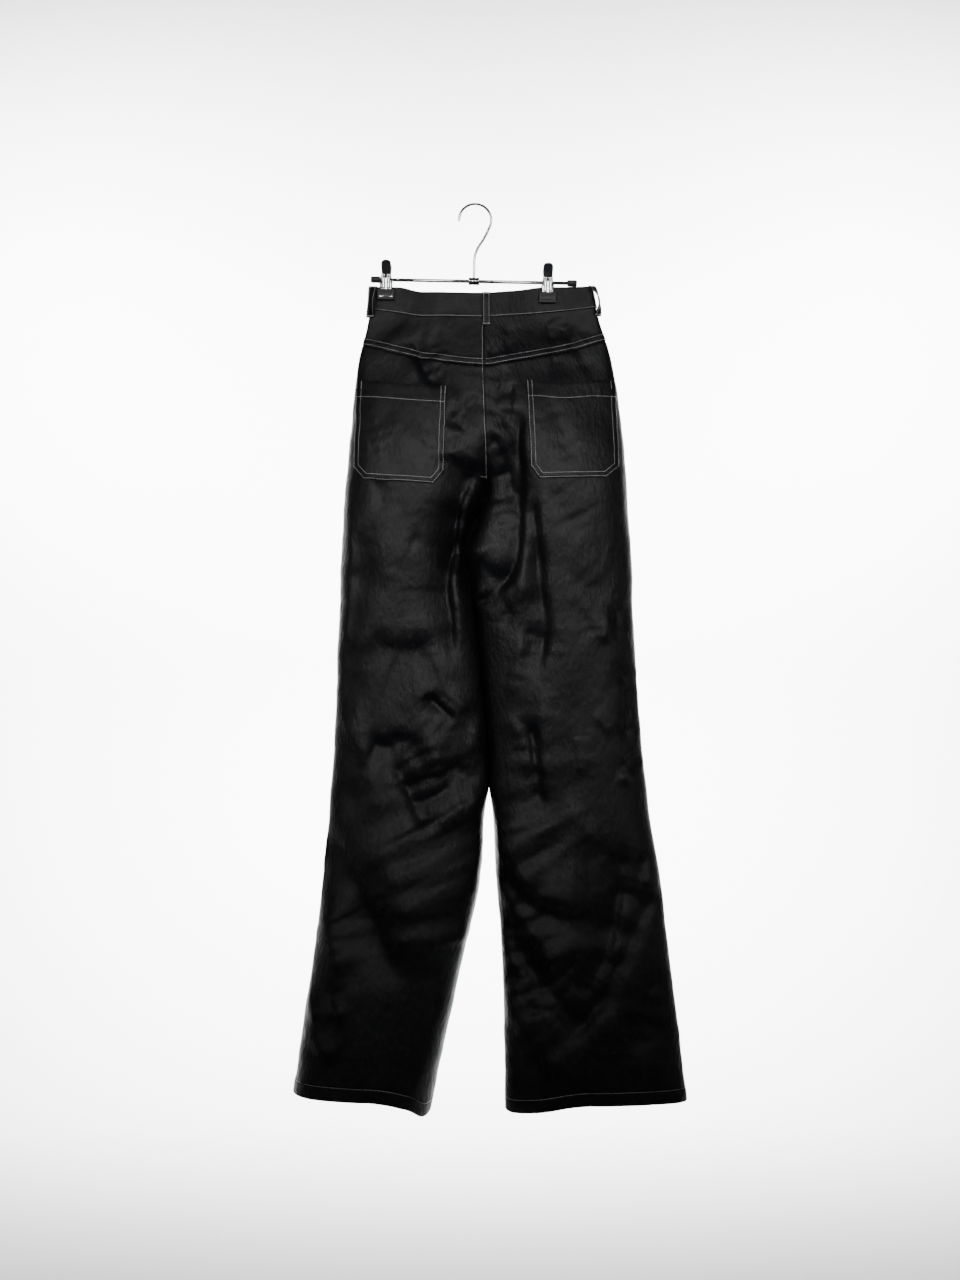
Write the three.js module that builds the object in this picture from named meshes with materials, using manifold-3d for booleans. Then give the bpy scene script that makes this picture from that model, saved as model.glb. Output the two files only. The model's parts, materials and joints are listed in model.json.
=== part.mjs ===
// High-waisted faux leather trousers, hung by the waistband from a clip hanger.
// Millimetres, +Z up, with the back of the trousers towards -Y and the wearer's left at -X.
// The origin is the point where a rail carries the hanger's hook. Levels on the cloth are
// given as a drop: the distance below the waist line.
import * as THREE from "three";
import { mergeVertices } from "three/addons/utils/BufferGeometryUtils.js";
import Module from "manifold-3d";

const { degToRad, lerp, smoothstep } = THREE.MathUtils;
const wasm = await Module();
wasm.setup();

// ---------------------------------------------------------------- driving dimensions
const CLOTH = 1.2; // one layer of coated cloth with its backing
const BAND_CLOTH = 2.4; // the waistband, folded double
const SEAM_GAP = 0.3;
const EASE = 0.2; // more gap along the seams that curve across the cloth
const LAID = 0.45; // gap under a piece that lies on another
const WAIST_Z = -111; // height of the waist line below the hook
const CENTRE_X = 11; // the cloth hangs this far to the side of the hook
const BOXINESS = 0.8; // power of the rounded sections: 1 is an ellipse, less is boxier
const PRESSED = 0.3; // half the gap left between front and back inside a clip
const HEM_FOLD = 18;

// Outline and depth at each level. left and right are the side seams' distances from the
// centre; the depths are half depths of the back; front is the front's share of them; turn
// is how far the centre seam has rounded under, from 0 on the seat to 90 at the inseam.
const SECTIONS = [
  { drop: -12, left: 145, right: 138, leftDepth: 11, rightDepth: 11, front: 1.0, turn: 0 },
  { drop: 35, left: 149, right: 148, leftDepth: 16, rightDepth: 16, front: 0.9, turn: 0 },
  { drop: 90, left: 161, right: 164, leftDepth: 31, rightDepth: 31, front: 0.75, turn: 0 },
  { drop: 160, left: 169, right: 175, leftDepth: 49, rightDepth: 49, front: 0.7, turn: 6 },
  { drop: 215, left: 175, right: 181, leftDepth: 58, rightDepth: 58, front: 0.75, turn: 40 },
  { drop: 278, left: 180, right: 186, leftDepth: 60, rightDepth: 60, front: 0.85, turn: 90 },
  { drop: 402, left: 186, right: 192, leftDepth: 55, rightDepth: 54, front: 0.9, turn: 90 },
  { drop: 532, left: 190, right: 199, leftDepth: 50, rightDepth: 48, front: 0.9, turn: 90 },
  { drop: 634, left: 196, right: 208, leftDepth: 47, rightDepth: 44, front: 0.9, turn: 90 },
  { drop: 763, left: 208, right: 227, leftDepth: 46, rightDepth: 40, front: 0.9, turn: 90 },
  { drop: 904, left: 226, right: 245, leftDepth: 52, rightDepth: 36, front: 0.9, turn: 90 },
  { drop: 1050, left: 248, right: 262, leftDepth: 58, rightDepth: 31, front: 0.9, turn: 90 },
];

// The line between the legs, and the gap between them below the touching thighs.
const BETWEEN = [
  { drop: 100, x: 0, gap: 0 },
  { drop: 259, x: 4, gap: 0 },
  { drop: 300, x: -12, gap: 1.5 },
  { drop: 340, x: -25, gap: 2 },
  { drop: 376, x: -18, gap: 2 },
  { drop: 506, x: -2, gap: 2 },
  { drop: 632, x: 7, gap: 2 },
  { drop: 669, x: 6, gap: 9 },
  { drop: 763, x: 6, gap: 21 },
  { drop: 857, x: -1, gap: 47 },
  { drop: 950, x: -10, gap: 72 },
  { drop: 1070, x: -21, gap: 98 },
];

// Seam lines across the top, by distance from the centre: the waistband's two edges and
// the yoke seam on the back.
const LINES = [
  { x: -165, top: -5, band: 23, yoke: 70 },
  { x: -112, top: -4.5, band: 30, yoke: 84 },
  { x: -78, top: 3, band: 36, yoke: 92 },
  { x: 0, top: 5, band: 38, yoke: 102 },
  { x: 40, top: 1, band: 34, yoke: 95 },
  { x: 80, top: -4.5, band: 30, yoke: 87 },
  { x: 125, top: -4.5, band: 26, yoke: 77 },
  { x: 165, top: -9, band: 21, yoke: 64 },
];

// The hem line of each leg, from the side seam (u 0) to the inseam (u 1).
const HEMS = [
  { u: 0, left: 1037, right: 1050 },
  { u: 0.5, left: 1041, right: 1052 },
  { u: 0.7, left: 1052, right: 1062 },
  { u: 0.85, left: 1065, right: 1064 },
  { u: 1, left: 1060, right: 1060 },
];

// The back pockets: the drops of the mouth and the foot at the outer and inner corners.
const POCKET = {
  left: { mouth: [121, 130], foot: [249, 256] },
  right: { mouth: [121, 122], foot: [247, 249] },
  chamfer: 0.75, // share of the grid's last row
};
// Their side edges: the outer one by its share of the way from the side seam, the inner
// ones by their distance from the centre.
const POCKET_EDGES = [
  { drop: 126, outer: 0.12, left: 47, right: 54 },
  { drop: 252, outer: 0.185, left: 52, right: 60 },
];
const BELOW_POCKET = { outer: 0.19, inner: 0.74 };

// The largest folds, as soft troughs (depth below 0) and ridges (above 0) that run along
// a curve of three points, each with its x and drop.
const FOLDS = [
  { face: "back", path: [[-160, 250], [-166, 420], [-168, 545]], width: 10, depth: -5 },
  { face: "back", path: [[-8, 225], [-44, 320], [-62, 405]], width: 14, depth: -12 },
  { face: "back", path: [[-62, 405], [-34, 440], [-38, 500]], width: 12, depth: -8 },
  { face: "back", path: [[44, 130], [46, 300], [14, 396]], width: 13, depth: -10 },
  { face: "back", path: [[60, 235], [80, 420], [66, 560]], width: 14, depth: -9 },
  { face: "back", path: [[84, 45], [92, 140], [112, 230]], width: 13, depth: -4 },
  { face: "back", path: [[-188, 700], [-150, 800], [-112, 910]], width: 20, depth: -9 },
  { face: "back", path: [[-170, 690], [-115, 760], [-96, 880]], width: 20, depth: 6 },
  { face: "back", path: [[18, 690], [50, 790], [150, 785]], width: 17, depth: 7 },
  { face: "back", path: [[24, 750], [60, 830], [150, 815]], width: 15, depth: -7 },
  { face: "back", path: [[205, 790], [160, 910], [98, 970]], width: 16, depth: 5 },
  { face: "front", path: [[-24, 245], [-62, 310], [-80, 430]], width: 15, depth: -8 },
  { face: "front", path: [[30, 245], [54, 315], [76, 420]], width: 15, depth: -8 },
  { face: "front", path: [[-185, 560], [-110, 640], [-50, 590]], width: 20, depth: -6 },
  { face: "front", path: [[190, 600], [120, 690], [40, 640]], width: 20, depth: -6 },
  { face: "front", path: [[-200, 780], [-140, 870], [-90, 850]], width: 20, depth: 6 },
  { face: "front", path: [[215, 800], [130, 900], [50, 860]], width: 20, depth: 5 },
];

// The fly lies over the centre front and hides the zip; its edges are given as shares.
const FLY = { length: 158, chamfer: 0.6 };
const FLY_EDGES = [
  { drop: 30, left: 0.93, right: 0.973 },
  { drop: 190, left: 0.892, right: 0.947 },
  { drop: 420, left: 0.83, right: 0.83 },
];
const ZIP = { half: 13, length: 118, tape: 0.9 };

// The waistband's free ends at the centre front: one passes under, the other over it.
const LAP = { under: -30, over: 13, ramp: 45 };
const BUTTON = { radius: 8.5, thickness: 3, x: -3, drop: 17 };

const LOOP = { width: 11, cloth: 1.6, below: 10, laid: 0.75 };
// Belt loops: the share at which each is sewn, how far round from the cloth's own outward
// direction it is swung, and how far it stands off.
const LOOPS = [
  { name: "loop_back", side: "right", face: "back", u: 0.995, swing: 0, stand: 1.2 },
  { name: "loop_side_left", side: "left", face: "back", u: 0.1, swing: 0, stand: 4.5 },
  { name: "loop_side_right", side: "right", face: "back", u: 0.1, swing: 0, stand: 4 },
  { name: "loop_front_left", side: "left", face: "front", u: 0.64, swing: 0, stand: 1.5 },
  { name: "loop_front_right", side: "right", face: "front", u: 0.5, swing: 0, stand: 1.5 },
];

const HANGER = { tilt: 1.1, rodDrop: 99, rodRadius: 2.25, rodLength: 260, clearance: 0.3 };
const CAP = { radius: 4.3, length: 12.5, cover: 8.5, round: 1.2 };
const HOOK = { wire: 1.7, radius: 21, neck: 66 };
const COLLAR = { width: 14, radius: 5.5 };
const CLIPS = [
  { side: "left", x: -114 },
  { side: "right", x: 96 },
];
const PAD = { width: 22, top: -13, bottom: -27, face: 3.3, depth: 4.2, wall: 1.3 };
const JAW = { metal: 1, width: 13.5, foot: -25.5, top: 23, flare: 15, ear: 4 };
const SPRING = { outer: 3.3, length: 8 };

const PAINT = {
  cloth: { color: 0x141416, roughness: 0.42, metalness: 0 },
  tape: { color: 0x1b1b1d, roughness: 0.8, metalness: 0 },
  chrome: { color: 0xc8c9cc, roughness: 0.18, metalness: 1 },
  rubber: { color: 0x0b0b0c, roughness: 0.5, metalness: 0 },
  button: { color: 0x101012, roughness: 0.3, metalness: 0 },
};

// ------------------------------------------------------------------ reading the tables
// A smooth curve through one column of a table, which never swings past its rows.
function along(table, key, at, by = "drop") {
  const last = table.length - 1;
  if (at <= table[0][by]) return table[0][key];
  if (at >= table[last][by]) return table[last][key];
  let row = 0;
  while (at > table[row + 1][by]) row++;
  const slope = (k) => (table[k + 1][key] - table[k][key]) / (table[k + 1][by] - table[k][by]);
  const tangent = (k) => {
    if (k === 0) return slope(0);
    if (k === last) return slope(last - 1);
    const before = slope(k - 1);
    const after = slope(k);
    return before * after <= 0 ? 0 : (2 * before * after) / (before + after);
  };
  const span = table[row + 1][by] - table[row][by];
  const t = (at - table[row][by]) / span;
  const start = (1 + 2 * t) * (1 - t) ** 2 * table[row][key];
  const end = t * t * (3 - 2 * t) * table[row + 1][key];
  return start + end + span * t * (1 - t) * ((1 - t) * tangent(row) - t * tangent(row + 1));
}

// Reads a list of stops: the value at each of some grid lines, straight in between.
function stepped(stops, cell) {
  let i = 0;
  while (i < stops.length - 2 && cell > stops[i + 1][0]) i++;
  const [[from, low], [to, high]] = [stops[i], stops[i + 1]];
  return lerp(low, high, (cell - from) / (to - from));
}

const sideSign = (side) => (side === "left" ? -1 : 1);
const signedPower = (value, power) => Math.sign(value) * Math.abs(value) ** power;
const GRIP_HALF = PAD.width / 2 + 1.5;
const FOLD_LINES = FOLDS.map(({ face, path, width, depth }) => {
  const [start, bend, end] = path.map(([x, drop]) => new THREE.Vector2(x, drop));
  const points = new THREE.QuadraticBezierCurve(start, bend, end).getPoints(24);
  return { face, width, depth, points };
});

// ------------------------------------------------------------------------- the form
// The middle of a clip's grip on the cloth.
function gripX(clip) {
  return clip.x - HANGER.rodDrop * Math.sin(degToRad(HANGER.tilt)) - CENTRE_X;
}

// How hard the clips press front and back together at a point, from 0 to 1.
function pinch(face, x, drop) {
  const fade = 1 - 0.75 * smoothstep(drop, 18, 95) - 0.25 * smoothstep(drop, 80, 170);
  const reach = (face === "back" ? 20 : 13) + 0.25 * Math.max(0, drop);
  const press = CLIPS.map((clip) => {
    const away = Math.abs(x - gripX(clip)) - GRIP_HALF;
    return 1 - smoothstep(away, 0, reach);
  });
  return fade * Math.max(...press);
}

// A point of the smooth form on the cloth's inner face. u runs from the side seam (0) to
// the centre seam or inseam (1).
function form(side, face, u, drop) {
  const sign = sideSign(side);
  const turn = degToRad(along(SECTIONS, "turn", drop));
  const outer = along(SECTIONS, side, drop);
  const line = sign * along(BETWEEN, "x", drop);
  const inner = line + along(BETWEEN, "gap", drop) / 2 + SEAM_GAP / 2 + CLOTH * Math.sin(turn);
  const half = (outer - inner) / (1 + Math.sin(turn) ** BOXINESS);
  const angle = u * (Math.PI / 2 + turn);
  const x = sign * (outer - half * (1 - signedPower(Math.cos(angle), BOXINESS)));
  const share = face === "back" ? 1 : along(SECTIONS, "front", drop);
  const depth = share * along(SECTIONS, side + "Depth", drop);
  const bulge = depth * Math.max(0, Math.sin(angle)) ** BOXINESS;
  const y = lerp(bulge, Math.min(bulge, PRESSED), pinch(face, x, drop)) + SEAM_GAP / 2;
  return new THREE.Vector3(x, face === "back" ? -y : y, -drop);
}

// How far the folds lift or sink the cloth at a point. The side seams and inseams stay
// where they are; across the seat's centre seam the folds run on.
function relief(side, face, u, drop) {
  const turn = degToRad(along(SECTIONS, "turn", drop));
  const free = smoothstep(Math.sin(u * (Math.PI / 2 + turn)), 0, 0.6);
  const { x } = form(side, face, u, drop);
  const at = new THREE.Vector2(x, drop);
  const nearby = FOLD_LINES.filter((fold) => fold.face === face);
  return nearby.reduce((sum, { points, width, depth }) => {
    const away = points.map((point) => point.distanceTo(at));
    const nearest = Math.min(...away);
    const t = away.indexOf(nearest) / (points.length - 1);
    const taper = Math.sin(Math.PI * lerp(0.08, 0.92, t)) ** 0.7;
    return sum + free * depth * taper * Math.exp(-((nearest / width) ** 2));
  }, 0);
}

function folded(side, face, u, drop) {
  const sign = face === "back" ? -1 : 1;
  const point = form(side, face, u, drop);
  point.y += sign * relief(side, face, u, drop);
  return point;
}

// A point of the draped cloth, lift millimetres out from its inner face.
function draped(side, face, u, drop, lift = 0) {
  const point = folded(side, face, u, drop);
  if (lift === 0) return point;
  const [low, high] = [Math.max(0, u - 0.004), Math.min(1, u + 0.004)];
  const across = folded(side, face, high, drop).sub(folded(side, face, low, drop));
  const down = folded(side, face, u, drop + 1.5).sub(folded(side, face, u, drop - 1.5));
  const facing = sideSign(side) * (face === "back" ? 1 : -1);
  return point.addScaledVector(across.cross(down).normalize(), facing * lift);
}

// The drop of a seam line at a place across the cloth.
function lineDrop(key, side, face, u) {
  const first = along(LINES, key, form(side, face, u, 60).x, "x");
  return along(LINES, key, form(side, face, u, first).x, "x");
}

// The share at which a given x lies on one side of the trousers.
function shareAt(side, x, drop) {
  let [low, high] = [0, 1];
  for (let i = 0; i < 30; i++) {
    const middle = (low + high) / 2;
    if (Math.abs(form(side, "front", middle, drop).x) > Math.abs(x)) low = middle;
    else high = middle;
  }
  return (low + high) / 2;
}

// ---------------------------------------------------------------------- making meshes
function named(name, geometry, paint) {
  const mesh = new THREE.Mesh(geometry, new THREE.MeshStandardMaterial(PAINT[paint]));
  mesh.name = name;
  return mesh;
}

// Turns the faces round where a shape was mirrored on the way.
function facingOut(geometry) {
  const p = geometry.getAttribute("position");
  const index = geometry.getIndex().array;
  const [a, b, c] = [new THREE.Vector3(), new THREE.Vector3(), new THREE.Vector3()];
  let volume = 0;
  for (let i = 0; i < index.length; i += 3) {
    a.fromBufferAttribute(p, index[i]);
    b.fromBufferAttribute(p, index[i + 1]);
    c.fromBufferAttribute(p, index[i + 2]);
    volume += a.dot(b.cross(c));
  }
  for (let i = 0; volume < 0 && i < index.length; i += 3) {
    [index[i], index[i + 1]] = [index[i + 1], index[i]];
  }
  geometry.computeVertexNormals();
  return geometry;
}

// A wall of two faces over one grid: place(column, row, out) gives the point for each
// corner, where out is 0 on the inner face and 1 on the outer.
function wall(name, columns, rows, place, paint = "cloth") {
  const points = [];
  const faces = [];
  const corner = (column, row, out) => 2 * (row * (columns + 1) + column) + out;
  for (let row = 0; row <= rows; row++) {
    for (let column = 0; column <= columns; column++) {
      points.push(place(column, row, 0), place(column, row, 1));
    }
  }
  for (let row = 0; row < rows; row++) {
    for (let column = 0; column < columns; column++) {
      for (const out of [0, 1]) {
        const [a, b] = [corner(column, row, out), corner(column + 1, row, out)];
        const [c, d] = [corner(column, row + 1, out), corner(column + 1, row + 1, out)];
        faces.push(...(out === 0 ? [a, b, d, a, d, c] : [a, d, b, a, c, d]));
      }
    }
  }
  const rim = (from, to) => faces.push(from, from + 1, to, to, from + 1, to + 1);
  for (let column = 0; column < columns; column++) {
    rim(corner(column, 0, 0), corner(column + 1, 0, 0));
    rim(corner(column + 1, rows, 0), corner(column, rows, 0));
  }
  for (let row = 0; row < rows; row++) {
    rim(corner(0, row + 1, 0), corner(0, row, 0));
    rim(corner(columns, row, 0), corner(columns, row + 1, 0));
  }
  const geometry = new THREE.BufferGeometry().setFromPoints(points).setIndex(faces);
  return named(name, facingOut(geometry), paint);
}

// ------------------------------------------------------------------- the cloth pieces
const BACK_GRID = { columns: 14, rows: 34, pocketColumns: [2, 10], pocketRows: [2, 9] };
const FRONT_GRID = { columns: 12, rows: 28, flyColumn: 10, flyRows: 5 };

// Rows of a panel's hem: the cloth is turned up over the last one, in two layers.
function hemStops(rows, hem) {
  return [
    [rows - 2, hem - HEM_FOLD - 1],
    [rows - 1, hem - HEM_FOLD],
    [rows, hem],
  ];
}
const panelLift = (row, rows, out) => out * CLOTH * (row >= rows - 1 ? 2 : 1);

// Where a grid corner of a back panel lies: its share across and its drop. Grid lines run
// along the pocket's four edges, so that the pocket can lie on the panel's own points.
function backCorner(side, column, row) {
  const { columns, rows, pocketColumns, pocketRows } = BACK_GRID;
  const { mouth, foot } = POCKET[side];
  const level = stepped([[0, 126], [pocketRows[0], 126], [pocketRows[1], 252]], row);
  const beside = Math.min(level, 252);
  const below = smoothstep(row, pocketRows[1], pocketRows[1] + 9);
  const inward = lerp(mouth[1], foot[1], (beside - 126) / 126);
  const outer = along(POCKET_EDGES, "outer", beside);
  const inner = shareAt(side, along(POCKET_EDGES, side, beside), inward);
  const edges = [
    [0, 0],
    [pocketColumns[0], lerp(outer, BELOW_POCKET.outer, below)],
    [pocketColumns[1], lerp(inner, BELOW_POCKET.inner, below)],
    [columns, 1],
  ];
  const u = stepped(edges, column);
  const slant = ([outer, inner], centre) => {
    const stops = [[0, outer], [pocketColumns[0], outer], [pocketColumns[1], inner]];
    return stepped([...stops, [columns, centre]], column);
  };
  const drops = [
    [0, lineDrop("yoke", side, "back", u) + SEAM_GAP / 2],
    [pocketRows[0], slant(mouth, 132)],
    [pocketRows[1], slant(foot, 254)],
    ...hemStops(rows, along(HEMS, side, u, "u")),
  ];
  return { u, drop: stepped(drops, row) };
}

function backPanel(side) {
  const { columns, rows } = BACK_GRID;
  return wall("back_" + side, columns, rows, (column, row, out) => {
    const { u, drop } = backCorner(side, column, row);
    return draped(side, "back", u, drop, panelLift(row, rows, out));
  });
}

// Where a grid corner of a front panel lies, with grid lines along the fly's edges.
function frontCorner(side, column, row) {
  const { columns, rows, flyColumn, flyRows } = FRONT_GRID;
  const level = stepped([[0, 30], [flyRows, 190], [rows, 1050]], row);
  const edge = along(FLY_EDGES, side, level);
  const u = stepped([[0, 0], [flyColumn, edge], [columns, 1]], column);
  const band = lineDrop("band", side, "front", u);
  const drops = [
    [0, band + SEAM_GAP / 2],
    [flyRows, band + FLY.length],
    ...hemStops(rows, along(HEMS, side, u, "u")),
  ];
  return { u, drop: stepped(drops, row) };
}

function frontPanel(side) {
  const { columns, rows } = FRONT_GRID;
  return wall("front_" + side, columns, rows, (column, row, out) => {
    const { u, drop } = frontCorner(side, column, row);
    return draped(side, "front", u, drop, panelLift(row, rows, out));
  });
}

function yoke(side) {
  const [columns, rows] = [14, 3];
  return wall("yoke_" + side, columns, rows, (column, row, out) => {
    const u = column / columns;
    const top = lineDrop("band", side, "back", u) + SEAM_GAP / 2;
    const bottom = lineDrop("yoke", side, "back", u) - SEAM_GAP / 2 - EASE;
    return draped(side, "back", u, lerp(top, bottom, row / rows), out * CLOTH);
  });
}

function pocket(side) {
  const { pocketColumns, pocketRows } = BACK_GRID;
  const columns = pocketColumns[1] - pocketColumns[0];
  const rows = pocketRows[1] - pocketRows[0];
  return wall("pocket_" + side, columns, rows, (column, row, out) => {
    const onPanel = (level) => {
      const at = backCorner(side, pocketColumns[0] + column, pocketRows[0] + level);
      return draped(side, "back", at.u, at.drop, CLOTH + LAID + out * CLOTH);
    };
    const corner = row === rows && (column === 0 || column === columns);
    return corner ? onPanel(row).lerp(onPanel(row - 1), POCKET.chamfer) : onPanel(row);
  });
}

// The fly spans the centre seam, from its edge on the left front to that on the right.
function fly() {
  const { columns, flyColumn, flyRows } = FRONT_GRID;
  const half = columns - flyColumn;
  return wall("fly", 2 * half, flyRows, (column, row, out) => {
    const side = column <= half ? "left" : "right";
    const panelColumn = side === "left" ? flyColumn + column : columns + half - column;
    const onPanel = (level) => {
      const at = frontCorner(side, panelColumn, level);
      return draped(side, "front", at.u, at.drop, CLOTH + LAID + out * CLOTH);
    };
    if (row === 0) return onPanel(0).lerp(onPanel(1), 0.02);
    const corner = row === flyRows && column === 0;
    return corner ? onPanel(row).lerp(onPanel(row - 1), FLY.chamfer) : onPanel(row);
  });
}

// The zip's tape, behind the two fronts.
function zip() {
  const [columns, rows] = [4, 7];
  return wall(
    "zip",
    columns,
    rows,
    (column, row, out) => {
      const side = column <= columns / 2 ? "left" : "right";
      const drop = 37 + (ZIP.length * row) / rows;
      const x = lerp(-ZIP.half, ZIP.half, column / columns);
      const u = column === columns / 2 ? 1 : shareAt(side, x, drop);
      const behind = LAID + (1 - out) * ZIP.tape;
      return draped(side, "front", u, drop, -behind);
    },
    "tape",
  );
}

// The waistband's grid across one quarter, from the centre (share 1) to the side seam
// (share 0), with grid lines at both edges of the clip's grip.
function bandStretches(side, face) {
  const clip = CLIPS.find((one) => one.side === side);
  const grip = Math.abs(gripX(clip));
  const near = shareAt(side, grip - GRIP_HALF, 0);
  const far = shareAt(side, grip + GRIP_HALF, 0);
  const inner = side === "left" ? 9 : 6;
  return [
    { side, face, from: 1, to: near, cells: inner },
    { side, face, from: near, to: far, cells: 2 },
    { side, face, from: far, to: 0, cells: 15 - inner },
  ];
}

const backwards = (stretches) =>
  stretches.reverse().map(({ from, to, ...rest }) => ({ ...rest, from: to, to: from }));

// The waistband is one strip: from its upper end at the centre front, round the left
// side, the back and the right side, to the end that passes under.
function waistband() {
  const overEnd = shareAt("right", LAP.over, 17);
  const underEnd = shareAt("left", LAP.under, 17);
  const stretches = [
    { side: "right", face: "front", from: overEnd, to: 1, cells: 2 },
    ...bandStretches("left", "front"),
    ...backwards(bandStretches("left", "back")),
    ...bandStretches("right", "back"),
    ...backwards(bandStretches("right", "front")),
    { side: "left", face: "front", from: 1, to: underEnd, cells: 3 },
  ];
  const columns = stretches.reduce((sum, stretch) => sum + stretch.cells, 0);
  const rows = 2;
  return wall("waistband", columns, rows, (column, row, out) => {
    let [i, cell] = [0, column];
    while (cell > stretches[i].cells) cell -= stretches[i++].cells;
    const { side, face, from, to, cells } = stretches[i];
    const u = lerp(from, to, cell / cells);
    const top = lineDrop("top", side, face, u);
    const bottom = lineDrop("band", side, face, u) - SEAM_GAP / 2 - EASE;
    const drop = lerp(top, bottom, row / rows);
    const { x } = form(side, face, u, drop);
    const over = i < 4 ? smoothstep(x, LAP.under - LAP.ramp, LAP.under - 5) : 0;
    return draped(side, face, u, drop, over * (BAND_CLOTH + LAID) + out * BAND_CLOTH);
  });
}

function beltLoop({ name, side, face, u, swing, stand }) {
  const [columns, rows] = [2, 9];
  const facing = draped(side, face, u, 12, 1).sub(draped(side, face, u, 12));
  facing.setZ(0).normalize().applyAxisAngle(new THREE.Vector3(0, 0, 1), degToRad(swing));
  const sideways = new THREE.Vector3(-facing.y, facing.x, 0);
  const top = lineDrop("top", side, face, u) + 0.5;
  const band = lineDrop("band", side, face, u);
  return wall(name, columns, rows, (column, row, out) => {
    const t = row / rows;
    const drop = lerp(top, band + LOOP.below, t);
    const step = smoothstep(drop, band + 1, band + LOOP.below - 1);
    const arch = stand * Math.sin(Math.PI * t) ** 0.8;
    const seat = lerp(BAND_CLOTH, CLOTH, step) + LOOP.laid + arch;
    const foot = draped(side, face, u, drop, 0.01).addScaledVector(facing, seat);
    foot.addScaledVector(sideways, LOOP.width * (column / columns - 0.5));
    return foot.addScaledVector(facing, out * LOOP.cloth);
  });
}

function waistButton() {
  const { radius, thickness, x, drop } = BUTTON;
  const rim = 1;
  const profile = [
    new THREE.Vector2(0, 0),
    new THREE.Vector2(radius - rim, 0),
    new THREE.Vector2(radius, rim),
    new THREE.Vector2(radius, thickness - rim),
    new THREE.Vector2(radius - rim, thickness),
    new THREE.Vector2(radius - 2 * rim, thickness - 0.6),
    new THREE.Vector2(0, thickness - 0.6),
  ];
  const mesh = named("waist_button", new THREE.LatheGeometry(profile, 24), "button");
  const share = shareAt("left", x, drop);
  const lift = 2 * (BAND_CLOTH + LAID);
  const seat = draped("left", "front", share, drop, lift);
  const facing = draped("left", "front", share, drop, lift + 1).sub(seat).normalize();
  mesh.position.copy(seat);
  mesh.quaternion.setFromUnitVectors(new THREE.Vector3(0, 1, 0), facing);
  return mesh;
}

// ------------------------------------------------------------------------ the hanger
// Solids are joined and cut as closed bodies, then turned back into geometry.
function solid(geometry) {
  const bare = new THREE.BufferGeometry();
  bare.setAttribute("position", geometry.getAttribute("position"));
  if (geometry.getIndex()) bare.setIndex(geometry.getIndex());
  const merged = mergeVertices(bare, 1e-4);
  const vertProperties = new Float32Array(merged.getAttribute("position").array);
  const triVerts = new Uint32Array(merged.getIndex().array);
  return new wasm.Manifold(new wasm.Mesh({ numProp: 3, vertProperties, triVerts }));
}

function geometryOf(manifold) {
  const { vertProperties, triVerts } = manifold.getMesh();
  const geometry = new THREE.BufferGeometry();
  geometry.setAttribute("position", new THREE.BufferAttribute(vertProperties, 3));
  geometry.setIndex(new THREE.BufferAttribute(triVerts, 1));
  return geometry;
}

// A shape drawn across the hanger (its x is the part's y, its y is up), made solid from
// one distance along the rod to another.
function extruded(shape, from, to) {
  const options = { depth: to - from, bevelEnabled: false, curveSegments: 10 };
  const geometry = new THREE.ExtrudeGeometry(shape, options);
  const turned = new THREE.Matrix4().set(0, 0, 1, from, 1, 0, 0, 0, 0, 1, 0, 0, 0, 0, 0, 1);
  return geometry.applyMatrix4(turned);
}

function sleeve(inner, outer, length) {
  const shape = new THREE.Shape().absarc(0, 0, outer, 0, 2 * Math.PI);
  shape.holes.push(new THREE.Path().absarc(0, 0, inner, 0, 2 * Math.PI, true));
  return extruded(shape, -length / 2, length / 2);
}

// A flat strip's outline: its centre line moved half its thickness to either side.
function ribbon(line, thickness) {
  const side = (amount) =>
    line.map((point, i) => {
      const before = line[Math.max(0, i - 1)];
      const after = line[Math.min(line.length - 1, i + 1)];
      const [dx, dz] = [after[0] - before[0], after[1] - before[1]];
      const length = Math.hypot(dx, dz);
      return new THREE.Vector2(point[0] - (dz / length) * amount, point[1] + (dx / length) * amount);
    });
  return new THREE.Shape([...side(thickness / 2).reverse(), ...side(-thickness / 2)]);
}

const BORE = HANGER.rodRadius + HANGER.clearance;
const PLATE_Y = PAD.face + PAD.wall + HANGER.clearance + JAW.metal / 2;

// One jaw of a clip: a sprung plate with two ears round the rod, made on the +Y side. The
// second jaw's ears sit inside the first one's.
function jaw(inset) {
  const plateLine = [
    [PLATE_Y, JAW.foot],
    [PLATE_Y, 2],
    [PLATE_Y + 1.6, 8],
    [PLATE_Y + 5.2, 16],
    [JAW.flare, JAW.top],
  ];
  const half = JAW.width / 2;
  const plate = solid(extruded(ribbon(plateLine, JAW.metal), -half, half));
  const outline = new THREE.Shape();
  outline.moveTo(PLATE_Y, -JAW.ear);
  outline.lineTo(PLATE_Y, 1.5 * JAW.ear);
  outline.lineTo(0, JAW.ear);
  outline.absarc(0, 0, JAW.ear, Math.PI / 2, 1.5 * Math.PI);
  outline.holes.push(new THREE.Path().absarc(0, 0, BORE, 0, 2 * Math.PI, true));
  const edge = half - inset;
  const ears = [
    solid(extruded(outline, edge - JAW.metal, edge)),
    solid(extruded(outline, -edge, -edge + JAW.metal)),
  ];
  return ears.reduce((sum, ear) => sum.add(ear), plate);
}

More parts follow.
